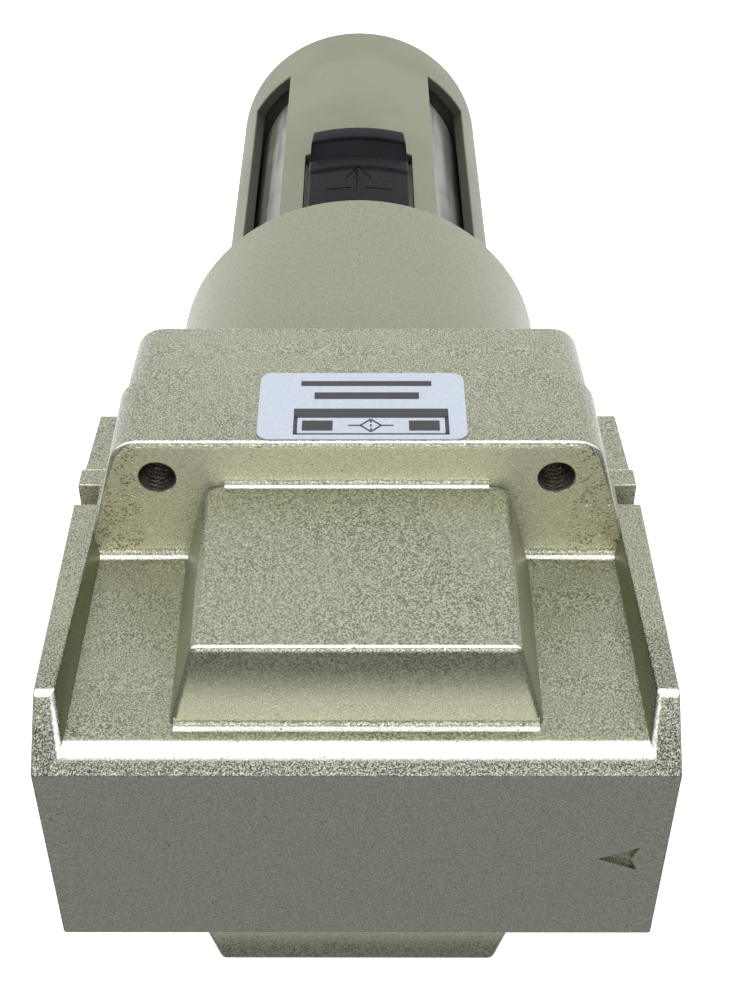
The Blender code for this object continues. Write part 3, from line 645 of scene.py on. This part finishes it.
SLOT_MATERIALS = {
    "cast_paint": CAST_PAINT, "guard_paint": GUARD_PAINT, "dark_plastic": BLACK_PLASTIC,
    "pale_plastic": PALE_PLASTIC, "rubber": RUBBER, "steel": STEEL, "brass": BRASS,
    "clear_plastic": CLEAR_PLASTIC, "filter_media": FILTER_MEDIA, "label_paper": LABEL_PAPER,
}


# ---------------------------------------------------------------- the head

def collar_outline(inset):
    """Plan of the lower head: two port flanges, and a collar that narrows to its rounded corners."""
    flange_x, flange_y = PORT_FACE_X - inset, FLANGE_Y - inset
    root_x, side_x = COLLAR_ROOT_X - inset, COLLAR_HALF_X - inset
    front_y, corner = COLLAR_Y - inset, COLLAR_CORNER
    slant = math.atan2(front_y - flange_y, side_x - root_x)
    # The corner's centre is one radius in from the front face and one from the slanted side.
    centre_y = front_y - corner
    side_at_centre = root_x + (centre_y - flange_y) / math.tan(slant)
    centre_x = side_at_centre - corner / math.sin(slant)
    right_back = [(flange_x, flange_y), (root_x, flange_y)]
    right_back += arc((centre_x, centre_y), corner, math.degrees(slant) - 90, 90, 8)
    left_back = [(-x, y) for x, y in reversed(right_back)]
    return right_back + left_back + [(-x, -y) for x, y in right_back + left_back]


def screw_places():
    return [(x, y) for x in (-SCREW_X, SCREW_X) for y in (-SCREW_Y, SCREW_Y)]


def pad(side):
    """The raised pad on the front (side -1) or back (side 1). Its flanks are drafted."""
    def outline(y):
        flare = (PAD_Y - y) * PAD_FLARE
        upper, lower = (half_x + flare for half_x in PAD_HALF_X)
        right = [(upper, PAD_TOP), (lower, SHOULDER_Z + PAD_CORNER)]
        right += arc((lower - PAD_CORNER, SHOULDER_Z + PAD_CORNER), PAD_CORNER, -9, -90, 8)
        right += [(lower - PAD_CORNER, SHOULDER_Z - 2)]
        return right + [(-x, z) for x, z in reversed(right)]
    root = TOP_HALF_Y - 1
    return loft([(side * root, outline(root)), (side * PAD_Y, outline(PAD_Y))], "y")


def panel_recess(side):
    """Space in front of the panel between the two port flanges, open at the top and drafted both ways."""
    def outline(foot, edge, panel_y):
        slope = (edge - foot) / (FLANGE_Y - panel_y)
        out_y = FLANGE_Y + 4
        out_x = foot + slope * (out_y - panel_y)
        points = [(-foot, panel_y), (foot, panel_y), (out_x, out_y), (-out_x, out_y)]
        return [(x, side * y) for x, y in points]
    end_z = HEAD_TOP + 6
    end_y = PANEL_Y - (end_z - SHOULDER_Z) * math.tan(math.radians(PANEL_DRAFT))
    ends = [(SHOULDER_Z, PANEL_WALL_X, PANEL_Y), (end_z, PANEL_WALL_TOP_X, end_y)]
    return loft([(z, outline(*wall_x, y)) for z, wall_x, y in ends])


def inner_fillet(side, y, z, radius, half_x):
    """Material that fills the corner between a wall at y, which faces outward, and a level face at z."""
    sunk = 0.5  # into both
    wall, foot = y - sunk, z - sunk
    curve = arc((y + radius, z + radius), radius, 180, 270, 6)
    outline = [(wall, foot), (y + radius, foot)] + curve[::-1] + [(wall, z + radius)]
    return prism([(side * u, v) for u, v in outline], -half_x, half_x, "x")


def head_edge_width(edge):
    """How widely an edge of the casting is rounded, by where it lies."""
    first, second = (v.co for v in edge.verts)
    middle = (first + second) / 2
    x, y, z = abs(middle.x), abs(middle.y), middle.z
    level = abs(first.z - second.z) < 0.01
    near = 0.1
    at_notch = x > NOTCH_X - near and NOTCH_BOTTOM - near < z < NOTCH_TOP + near
    at_port_face = x > PORT_FACE_X - near
    at_flange_front = x > 40 and abs(y - FLANGE_Y) < 0.5
    over_panel = x < 40 and z > PAD_TOP + 1 and y > TOP_HALF_Y + 1
    if z < SEAM_Z + near:
        return 0.3
    if at_notch:
        return 0.25
    if level and z > HEAD_TOP - near or at_port_face:
        return 0.4
    if at_flange_front and not level:
        return 0.35
    return 2.0 if level and over_panel else 1.0


def make_body():
    body = raw("die_cast_body", prism(collar_outline(0), SEAM_Z, SHOULDER_Z))
    block = [(-FLANGE_Y, SEAM_Z + 3), (FLANGE_Y, SEAM_Z + 3), (FLANGE_Y, CHAMFER_FOOT_Z)]
    block += [(TOP_HALF_Y, HEAD_TOP), (-TOP_HALF_Y, HEAD_TOP), (-FLANGE_Y, CHAMFER_FOOT_Z)]
    upper = raw("upper_block", prism(block, -PORT_FACE_X, PORT_FACE_X, "x"))
    cut(upper, combined([panel_recess(-1), panel_recess(1)]))
    join(body, shape_of(upper))
    join(body, combined([pad(-1), pad(1)]))
    sides = [sorted((side * NOTCH_X, side * (PORT_FACE_X + 2))) for side in (-1, 1)]
    notch_y, notch_z = (-FLANGE_Y - 4, FLANGE_Y + 4), (NOTCH_BOTTOM, NOTCH_TOP)
    cut(body, combined([box(x, notch_y, notch_z) for x in sides]))
    merge_flat(body)
    round_edges(body, head_edge_width)
    ledge_root = PANEL_Y - (PAD_TOP - SHOULDER_Z) * math.tan(math.radians(PANEL_DRAFT))
    # Each inner fillet's wall, level face, radius and half length.
    fillets = [(PANEL_Y, SHOULDER_Z, 1.6, 40.4), (PAD_Y, SHOULDER_Z, 1.3, 19.9)]
    fillets += [(ledge_root, PAD_TOP, 1.4, 25.6)]
    for side in (-1, 1):
        for fillet in fillets:
            join(body, inner_fillet(side, *fillet))

    pipe = WAY_RADIUS - 0.2
    chamber = [(0, SEAM_Z - 5), (CHAMBER_RADIUS, SEAM_Z - 5), (CHAMBER_RADIUS, CHAMBER_TOP)]
    chamber += [(STANDPIPE_RADIUS, CHAMBER_TOP), (STANDPIPE_RADIUS, STANDPIPE_END)]
    chamber += [(pipe, STANDPIPE_END), (pipe, 0), (0, 0)]
    cut(body, lathe(chamber))
    for side in (-1, 1):
        cut(body, port(side))
    cut(body, box(*INLET_WELL))
    cut(body, cylinder(ROD_HOLE_RADIUS, -4, 18))
    thread = (TAPPED_RADIUS, TAPPED_PITCH, 0.42, SEAM_Z - 2, SHOULDER_Z + 3, 32)
    cut(body, combined([tapped(*thread, at=at) for at in screw_places()]))
    mouth_foot, mouth_top = SHOULDER_Z - 0.3, SHOULDER_Z + 0.2
    mouth = [(0, mouth_foot), (TAPPED_MOUTH - 0.5, mouth_foot), (TAPPED_MOUTH, mouth_top), (0, mouth_top)]
    cut(body, combined([moved(lathe(mouth, 32), at) for at in screw_places()]))
    # An arrowhead sunk into the top points from the inlet towards the bowl's axis.
    cut(body, prism(FLOW_ARROW, HEAD_TOP - FLOW_ARROW_DEPTH, HEAD_TOP + 1))
    piece(body, CAST_PAINT, "head", "cast_paint", "body")


def port(side):
    """A port: its countersunk mouth, its tapped bore, and the air way that leads on from it."""
    inner = PORT_FACE_X - PORT_DEPTH
    way_end = -15.0 if side < 0 else 0.0
    bore = tapped(PORT_RADIUS, PORT_PITCH, 0.95, inner, PORT_FACE_X + 2, 96, 8, "x")
    if side < 0:
        bmesh.ops.scale(bore, vec=(-1, 1, 1), verts=bore.verts)
        bmesh.ops.reverse_faces(bore, faces=bore.faces)
    way_start = side * (inner + 1)
    way = [(0, way_end), (WAY_RADIUS, way_end), (WAY_RADIUS, way_start), (0, way_start)]
    depth = 1.15
    deep, proud = side * (PORT_FACE_X - depth), side * (PORT_FACE_X + depth)
    mouth = [(0, deep), (PORT_RADIUS, deep), (PORT_RADIUS + 2 * depth, proud), (0, proud)]
    whole = raw("port", bore)
    join(whole, lathe(way, 64, "x"))
    join(whole, lathe(mouth, 96, "x"))
    return shape_of(whole)


def edge_reach(edge):
    """How far the edge's nearer end lies from the bowl's axis."""
    return min(math.hypot(v.co.x, v.co.y) for v in edge.verts)


def make_housing():
    """The lower casting: the plate under the seam and the round skirt."""
    top = housing_high.z
    inset = 0.5
    sections = [(PLATE_BOTTOM, collar_outline(2 * inset)), (top, collar_outline(inset))]
    housing = raw("bowl_housing", loft(sections))
    join(housing, cylinder(SKIRT_RADIUS, SKIRT_RIM, PLATE_BOTTOM + 1, 128))
    merge_flat(housing, 0.2)
    below, above = PLATE_BOTTOM - 3, SEAM_Z + 3
    hole = [(0, below), (COUNTERBORE_RADIUS, below), (COUNTERBORE_RADIUS, COUNTERBORE_END)]
    hole += [(SCREW_CLEARANCE, COUNTERBORE_END), (SCREW_CLEARANCE, above), (0, above)]
    cut(housing, combined([moved(lathe(hole, 40), at) for at in screw_places()]))

    def width(edge):
        middle = (edge.verts[0].co + edge.verts[1].co) / 2
        if math.hypot(abs(middle.x) - SCREW_X, abs(middle.y) - SCREW_Y) < COUNTERBORE_RADIUS + 0.1:
            return 0
        if middle.z > top - 0.1 or abs(middle.x) > PORT_FACE_X - 1.2:
            return 0.3
        return 0.45 if middle.z > PLATE_BOTTOM - 1 and edge_reach(edge) > SKIRT_RADIUS + 1 else 0.9
    round_edges(housing, width, least_angle=20)
    mouth = SKIRT_BORE + 0.8
    bore = [(0, SEAM_Z + 4), (THROAT_RADIUS, SEAM_Z + 4), (THROAT_RADIUS, THROAT_END)]
    bore += [(NECK_BORE, THROAT_END), (NECK_BORE, NECK_BORE_END), (SKIRT_BORE, NECK_BORE_END)]
    bore += [(SKIRT_BORE, SKIRT_RIM + 0.6)]
    bore += [(mouth, SKIRT_RIM - 0.2), (mouth, SKIRT_RIM - 4), (0, SKIRT_RIM - 4)]
    cut(housing, lathe(bore, 128))
    cut(housing, tube(*GASKET_GROOVE, top - 2.2, top + 3))
    join(housing, combined(lugs(*HOUSING_LUGS)))
    piece(housing, CAST_PAINT, "head", "cast_paint", "housing")


def lugs(inner, outer, low, high):
    """Four bayonet lugs, with a gap on the front."""
    return [sector(inner, outer, FRONT + 45 + 90 * i, 20, low, high) for i in range(4)]


# ---------------------------------------------------------------- the bowl unit

def make_guard():
    """The guard tube, with four sight slots, the button's window and a seat for the button's spring."""
    floor, round_edge = guard_low.z + 2.8, 1.0
    edge = arc((GUARD_RADIUS - round_edge, guard_low.z + round_edge), round_edge, 0, -90, 8)
    profile = [(GUARD_RADIUS, GUARD_TOP)] + edge + [(DRAIN_HOLE, guard_low.z), (DRAIN_HOLE, floor)]
    profile += [(GUARD_BORE, floor), (GUARD_BORE, GUARD_TOP)]
    guard = raw("bowl_guard_shell", lathe(profile, 160))
    cut(guard, box((-WINDOW_HALF_X, WINDOW_HALF_X), (-GUARD_RADIUS - 5, -20), (WINDOW_FOOT, WINDOW_TOP)))
    half = (SLOT_END - SLOT_START) / 2
    offset = (SLOT_END + SLOT_START) / 2
    bearings = [middle + side * offset for middle in (FRONT, -FRONT) for side in (-1, 1)]
    slot = (half, SLOT_BOTTOM, SLOT_TOP)
    cut(guard, combined([sector(GUARD_BORE - 3, GUARD_RADIUS + 3, bearing, *slot) for bearing in bearings]))
    merge_flat(guard, 0.2)
    round_edges(guard, lambda edge: 0.2, 2, 25)
    join(guard, combined(lugs(*GUARD_LUGS)))
    join(guard, box((-3, 3), (-27.5, -24.6), (WINDOW_FOOT - 2, WINDOW_BOTTOM)))
    piece(guard, GUARD_PAINT, "bowl_unit", "guard_paint", "bowl_guard", sharp=30)


def make_bowl():
    """The clear bowl: thick-walled, with a flange at the top and a boss for the drain cock."""
    outer, inner, flat, round_z = 24.0, 21.6, 16.0, -186.0
    neck, neck_bore, flange = 25.6, 23.2, bowl_high.x
    flange_top, flange_bottom, boss = -57.3, -62.0, 12.0
    profile = [(neck_bore, bowl_high.z)] + rounded((neck - 0.6, bowl_high.z - 0.6), 0.6, 90, 0)
    profile += [(neck, flange_top)] + rounded((flange - 0.5, flange_top - 0.5), 0.5, 90, 0)
    profile += rounded((flange - 0.5, flange_bottom + 0.5), 0.5, 0, -90) + [(outer, flange_bottom)]
    profile += arc((flat, round_z), outer - flat, 0, -90, 12)
    profile += [(boss, round_z - outer + flat), (boss, bowl_low.z)]
    profile += [(DRAIN_HOLE, bowl_low.z), (DRAIN_HOLE, round_z - inner + flat)]
    profile += arc((flat, round_z), inner - flat, -90, 0, 10)
    profile += [(inner, flange_bottom - 2), (neck_bore, flange_top)]
    bowl = raw("clear_bowl", lathe(profile, 128))
    piece(bowl, CLEAR_PLASTIC, "bowl_unit", "clear_plastic", "bowl")


def button_outline(face_y, inner_radius, half_x):
    """Plan of the button: a gently curved face with rounded ends, and behind it an arc round the bowl."""
    curve, end, steps = 39.0, 0.6, 20
    centre_y = curve - face_y
    xs = [(half_x - end) * (2 * i / steps - 1) for i in range(steps + 1)]
    outside = [(x, centre_y - math.sqrt(curve ** 2 - x * x)) for x in xs]
    corner_y = outside[0][1] + end
    left = arc((-half_x + end, corner_y), end, 180, 255, 3)
    right = [(-x, y) for x, y in reversed(left)]
    xs = [half_x * (1 - 2 * i / steps) for i in range(steps + 1)]
    inside = [(x, -math.sqrt(inner_radius ** 2 - x * x)) for x in xs]
    return left + outside + right + inside


def make_lock_button():
    """The lock button: a curved plate in the guard's window, with a lip to pull and a tongue that locks."""
    plate_bottom = WINDOW_BOTTOM + 6.3
    plate = button_outline(BUTTON_FACE, BUTTON_BACK, BUTTON_HALF_X)
    button = raw("button", prism(plate, plate_bottom, BUTTON_PLATE_TOP))
    wings_foot, wings_top = -117.0, BUTTON_PLATE_TOP - 0.5
    join(button, sector(BUTTON_BACK, BUTTON_BACK + 1.7, FRONT, 29, wings_foot, wings_top, 24))
    # Height, face and half width at each level, from the lip's end up to the plate.
    lip_end = button_low.z
    levels = [
        (lip_end, LIP_FACE - 0.55, 9.4), (lip_end + 0.25, LIP_FACE - 0.15, 9.6),
        (lip_end + 0.7, LIP_FACE, 9.75), (LIP_TOP - 0.7, LIP_FACE, 10.0),
        (LIP_TOP - 0.2, LIP_FACE - 0.2, 10.05), (LIP_TOP + 0.2, LIP_FACE - 0.75, 10.1),
        (LEDGE_TOP - 0.7, BUTTON_FACE - 0.3, 10.38), (LEDGE_TOP - 0.3, BUTTON_FACE - 0.3, 10.38),
        (LEDGE_TOP, BUTTON_FACE, BUTTON_HALF_X), (plate_bottom + 2, BUTTON_FACE, BUTTON_HALF_X),
    ]
    outside_guard = GUARD_RADIUS + 0.3
    join(button, loft([(z, button_outline(y, outside_guard, x)) for z, y, x in levels]))
    tongue_x, tongue_face, tongue_back = (-5, 5), -31.2, -29.2
    join(button, box(tongue_x, (tongue_face, -27), (BUTTON_PLATE_TOP - 2, WINDOW_TOP - 1)))
    join(button, box(tongue_x, (tongue_face, tongue_back), (WINDOW_TOP - 3, button_high.z)))
    cut(button, box((-2, 2), (-28.3, -20), (plate_bottom - 2, SPRING_POCKET_TOP)))
    # The grooves follow the curved face, so what lies deeper is taken off them first.
    arrow = raw("arrow", combined(press_arrow()))
    cut(arrow, prism(button_outline(BUTTON_FACE - 0.14, 20, 11), -140, -100))
    cut(button, shape_of(arrow))
    piece(button, BLACK_PLASTIC, "button", "dark_plastic", "lock_button", sharp=28)


def press_arrow():
    """Grooves in the button's face: an arrow that points down, the way it slides, and a line each side."""
    front, deepest = -33.0, -27.0
    tip_z, arm_x, arm_z, groove = -130.8, 2.7, 4.9, 0.5
    chevron = [(0, tip_z), (arm_x, tip_z + arm_z), (arm_x - groove, tip_z + arm_z + 0.3), (0, tip_z + 1.2)]
    mirrored = [(-x, z) for x, z in reversed(chevron)]
    stem = rectangle(-0.95, -0.65, tip_z + 4.2, tip_z + 16)
    other_stem = [(-x, z) for x, z in reversed(stem)]
    lines = [rectangle(*sorted((side * 1.5, side * 6.8)), -121.9, -121.5) for side in (-1, 1)]
    outlines = [chevron + mirrored[1:-1], stem, other_stem] + lines
    return [prism(outline, front, deepest, "y") for outline in outlines]


def make_spring():
    """The lock spring, a coil between its seat on the guard and the button, built at one length though the
    real one shortens with the slide.
    """
    low, high = spring_low.z, spring_high.z
    axis_y, radius, wire = (spring_low.y + spring_high.y) / 2, 1.5, 0.2
    turns, around, sides = 6, 24, 8
    steps = turns * around
    bm = bmesh.new()
    rings = []
    for i in range(steps + 1):
        u, v = polar(1, 360 * i / around)
        rise = low + wire + (high - low - 2 * wire) * i / steps
        ring = []
        for j in range(sides):
            a, b = polar(wire, 360 * j / sides)
            ring.append(bm.verts.new((u * (radius + a), axis_y + v * (radius + a), rise + b)))
        rings.append(ring)
    for first, second in zip(rings, rings[1:]):
        for j in range(sides):
            k = (j + 1) % sides
            bm.faces.new((first[j], first[k], second[k], second[j]))
    bm.faces.new(rings[0])
    bm.faces.new(rings[-1])
    bmesh.ops.recalc_face_normals(bm, faces=bm.faces)
    spring = raw("button_spring", bm)
    spring.data.transform(Matrix.Scale(MM, 4))
    spring.data.materials.append(STEEL)
    spring.data.shade_smooth()
    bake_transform(spring)
    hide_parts("lock_spring")


def make_label():
    """The label, with plain bars and the drawing-standard filter symbol for its print."""
    corner, left, right = 1.8, label_low.x, label_high.x
    low, high, face = label_low.z, label_high.z, label_low.y
    outline = []
    for x, z, start in ((right, high, 0), (left, high, 90), (left, low, 180), (right, low, 270)):
        centre = (x - math.copysign(corner, x), z + corner if z == low else z - corner)
        outline += arc(centre, corner, start, start + 90, 8)
    sticker = raw("sticker", prism(outline, face + 0.03, label_high.y, "y"))
    piece(sticker, LABEL_PAPER, "head", "label_paper", "label")

    # The symbol's frame: a wide bar below, a thin one above, and an upright at each end.
    (frame_left, frame_right), (frame_low, frame_high), line = (-13.8, 9.5), (-26.4, -19.95), 0.6
    shapes = [rectangle(frame_left, frame_right, frame_low, frame_low + 2.3)]
    shapes += [rectangle(frame_left, frame_right, frame_high - line / 2, frame_high)]
    for x in (frame_left, frame_right - line):
        shapes.append(rectangle(x, x + line, frame_low + 2.0, frame_high - 0.1))
    shapes += [rectangle(x, x + 4.6, -23.4, -20.9) for x in (-12.4, 3.6)]
    # Two bars in place of lettering.
    shapes += [rectangle(-9.5, 6.5, -30.6, -28.9), rectangle(-11.5, 8.6, -33.6, -32.3)]
    # The filter symbol: a diamond in the line of flow, with a dashed line across it.
    centre_x, centre_z, size, thick = -2.1, -22.2, 1.55, 0.28
    flow_end, dash = 3.4, 0.5
    diamond = [(size, 0), (0, size), (-size, 0), (0, -size)]
    for (x0, z0), (x1, z1) in zip(diamond, diamond[1:] + diamond[:1]):
        across = Vector((z0 - z1, x1 - x0)).normalized() * thick / 2
        corners = ((x0, z0, 1), (x1, z1, 1), (x1, z1, -1), (x0, z0, -1))
        shapes.append([(centre_x + x + s * across.x, centre_z + z + s * across.y) for x, z, s in corners])
    for start, end in ((-flow_end, -size), (size, flow_end)):
        shapes.append(rectangle(centre_x + start, centre_x + end, centre_z - thick / 2, centre_z + thick / 2))
    for z in (-1.2, -0.25, 0.7):
        foot = centre_z + z
        shapes.append(rectangle(centre_x - thick / 2, centre_x + thick / 2, foot, foot + dash))
    ink = raw("label_print", combined([prism(shape, face, face + 0.05, "y") for shape in shapes]))
    piece(ink, LABEL_INK, "head", "label_paper", flat_weight=False)


def make_drain():
    """What shows below the guard: the nut, with its corners turned off, and the lobed knob."""
    flats, corners, chamfer = 10.2, 12.3, 1.2
    nut = raw("hex_nut", prism(hexagon(21), nut_low.z, nut_high.z))
    turned = [(0, nut_low.z - 1), (flats, nut_low.z - 1), (flats, nut_low.z), (corners, nut_low.z + chamfer)]
    turned += [(corners, nut_high.z - chamfer), (flats, nut_high.z)]
    turned += [(flats, nut_high.z + 1), (0, nut_high.z + 1)]
    boolean(nut, lathe(turned), "INTERSECT")
    cut(nut, cylinder(DRAIN_HOLE, nut_low.z - 2, nut_high.z + 2, 64))
    piece(nut, BRASS, "bowl_unit", "brass", "drain_nut", sharp=25)

    lobes, lobe_share, smooth_radius = 12, 0.055, 6

    def lobed(radius, height, bearing):
        swell = lobe_share * math.cos(math.radians(lobes * bearing))
        return radius * (1 + swell if radius > smooth_radius else 1)
    low, high, outer = knob_low.z, knob_high.z, 9.0
    stem_hole, socket, socket_floor = 1.6, 3.7, -213.3
    profile = [(stem_hole, low)] + rounded((outer - 1.2, low + 1.2), 1.2, -90, 0)
    profile += rounded((outer - 0.8, high - 0.8), 0.8, 0, 90)
    profile += [(socket, high), (socket, socket_floor), (stem_hole, socket_floor)]
    knob = raw("knob", lathe(profile, 192, radius_at=lobed))
    piece(knob, BLACK_PLASTIC, "drain_grip", "dark_plastic", "drain_knob")

    bore, flange, shank, well = 2, 12, 7.8, 3.75
    shoulder = guide_high.z - 2.8
    guide = [(bore, guide_high.z), (flange, guide_high.z), (flange, shoulder), (shank, shoulder)]
    guide += [(shank, guide_low.z + 0.5), (shank - 0.5, guide_low.z), (well, guide_low.z), (well, -194.1)]
    threaded = raw("drain_body", lathe(guide + [(bore, -193.1)], 64))
    piece(threaded, BRASS, "bowl_unit", "brass", "drain_guide")


make_body()
make_housing()
make_guard()
make_bowl()
make_lock_button()
make_spring()
make_label()
make_drain()


# ---------------------------------------------------------------- CAD nodes that show as they are

NODE_SLOTS = {
    "housing_screw": "steel", "lock_washer": "steel", "tie_rod": "steel", "lock_spring": "steel",
    "housing_gasket": "rubber", "upper_element_gasket": "rubber", "lower_element_gasket": "rubber",
    "bowl_o_ring": "rubber", "drain_guide_o_ring": "rubber", "drain_valve_o_ring": "rubber",
    "deflector": "pale_plastic", "baffle": "pale_plastic", "filter_element": "filter_media",
    "bowl": "clear_plastic", "drain_guide": "brass", "drain_nut": "brass", "drain_valve": "brass",
    "lock_button": "dark_plastic", "drain_knob": "dark_plastic", "label": "label_paper",
}
for name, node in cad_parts.items():
    kinds = [kind for kind in NODE_SLOTS if name.startswith(kind)]
    if kinds:
        slot = NODE_SLOTS[max(kinds, key=len)]
        node.data.materials.clear()
        node.data.materials.append(SLOT_MATERIALS[slot])


# ---------------------------------------------------------------- camera, light and floor

def make_camera():
    """The camera looks down at the front from above, with the head at the foot of the picture."""
    place = (-0.000946, -0.1838, 0.164159)
    tilt, turn, roll = (math.radians(degrees) for degrees in (49.043, 0.236, 0.175))
    ahead = Vector((math.sin(turn) * math.cos(tilt), math.cos(turn) * math.cos(tilt), -math.sin(tilt)))
    level = Vector((math.cos(turn), -math.sin(turn), 0))
    right, up = -level, -level.cross(ahead)
    cosine, sine = math.cos(roll), math.sin(roll)
    right, up = cosine * right + sine * up, cosine * up - sine * right
    camera = bpy.data.objects.new("camera", bpy.data.cameras.new("camera"))
    bpy.context.scene.collection.objects.link(camera)
    rotation = Matrix((right, up, -ahead)).transposed()
    camera.matrix_world = Matrix.Translation(place) @ rotation.to_4x4()
    camera.data.lens = 55.989
    camera.data.sensor_fit = "AUTO"
    camera.data.sensor_width = 36
    camera.data.shift_x = 0.0061
    camera.data.shift_y = 0.03625
    camera.data.clip_start = 0.01
    bpy.context.scene.camera = camera


def area_light(name, place, target, size, power):
    """A soft rectangular lamp; metres and watts."""
    light = bpy.data.lights.new(name, "AREA")
    light.shape = "RECTANGLE"
    light.size, light.size_y = size
    light.energy = power
    lamp = bpy.data.objects.new(name, light)
    bpy.context.scene.collection.objects.link(lamp)
    lamp.location = place
    lamp.rotation_euler = (Vector(target) - Vector(place)).to_track_quat("-Z", "Y").to_euler()
    lamp.visible_camera = False


def make_light():
    area_light("lamp_front", (0.0, -0.97, -0.06), (0, 0, -0.03), (0.9, 0.15), 4.4)
    area_light("fill_above", (0.0, -0.5, 0.8), (0, 0, -0.03), (0.8, 0.5), 6.9)
    area_light("fill_left", (-0.9, -0.3, 0.3), (0, 0, -0.05), (0.5, 0.7), 0.5)
    area_light("fill_right", (0.9, -0.3, 0.3), (0, 0, -0.05), (0.5, 0.7), 0.5)
    world = bpy.data.worlds.new("studio")
    world.use_nodes = True
    nodes, links = world.node_tree.nodes, world.node_tree.links
    # The room is bright in front of the unit and dim behind it.
    direction = nodes.new("ShaderNodeTexCoord").outputs["Generated"]
    split = nodes.new("ShaderNodeSeparateXYZ")
    links.new(direction, split.inputs[0])
    ramp = nodes.new("ShaderNodeMapRange")
    for socket, value in (("From Min", -1), ("From Max", 0.8), ("To Min", 0.75), ("To Max", 0.38)):
        ramp.inputs[socket].default_value = value
    links.new(split.outputs["Y"], ramp.inputs["Value"])
    background = nodes["Background"]
    background.inputs["Color"].default_value = (0.97, 0.98, 1.0, 1)
    links.new(ramp.outputs[0], background.inputs["Strength"])
    bpy.context.scene.world = world
    bpy.context.scene.view_settings.view_transform = "Standard"


def make_floor():
    """A wide pale floor well below the unit, which hangs in its pipe line."""
    half, floor_z = 4.0, -0.42  # metres
    bm = bmesh.new()
    bm.faces.new([bm.verts.new((x, y, floor_z)) for x, y in rectangle(-half, half, -half, half)])
    mesh = bpy.data.meshes.new("floor")
    bm.to_mesh(mesh)
    bm.free()
    floor = bpy.data.objects.new("floor", mesh)
    bpy.context.scene.collection.objects.link(floor)
    look = Look("pale_floor", Roughness=0.9, Emission_Color=(1, 1, 1, 1))
    look.set("Base Color", look.mix(look.noise(0.004, 2.0), colour("F0F0F0"), colour("F8F8F8")))
    # It glows a little, and less in front of the unit than behind it.
    look.set("Emission Strength", look.ramp(look.axis("Y"), -900, 150, 0.2, 0.75))
    mesh.materials.append(look.material)


make_camera()
make_light()
make_floor()
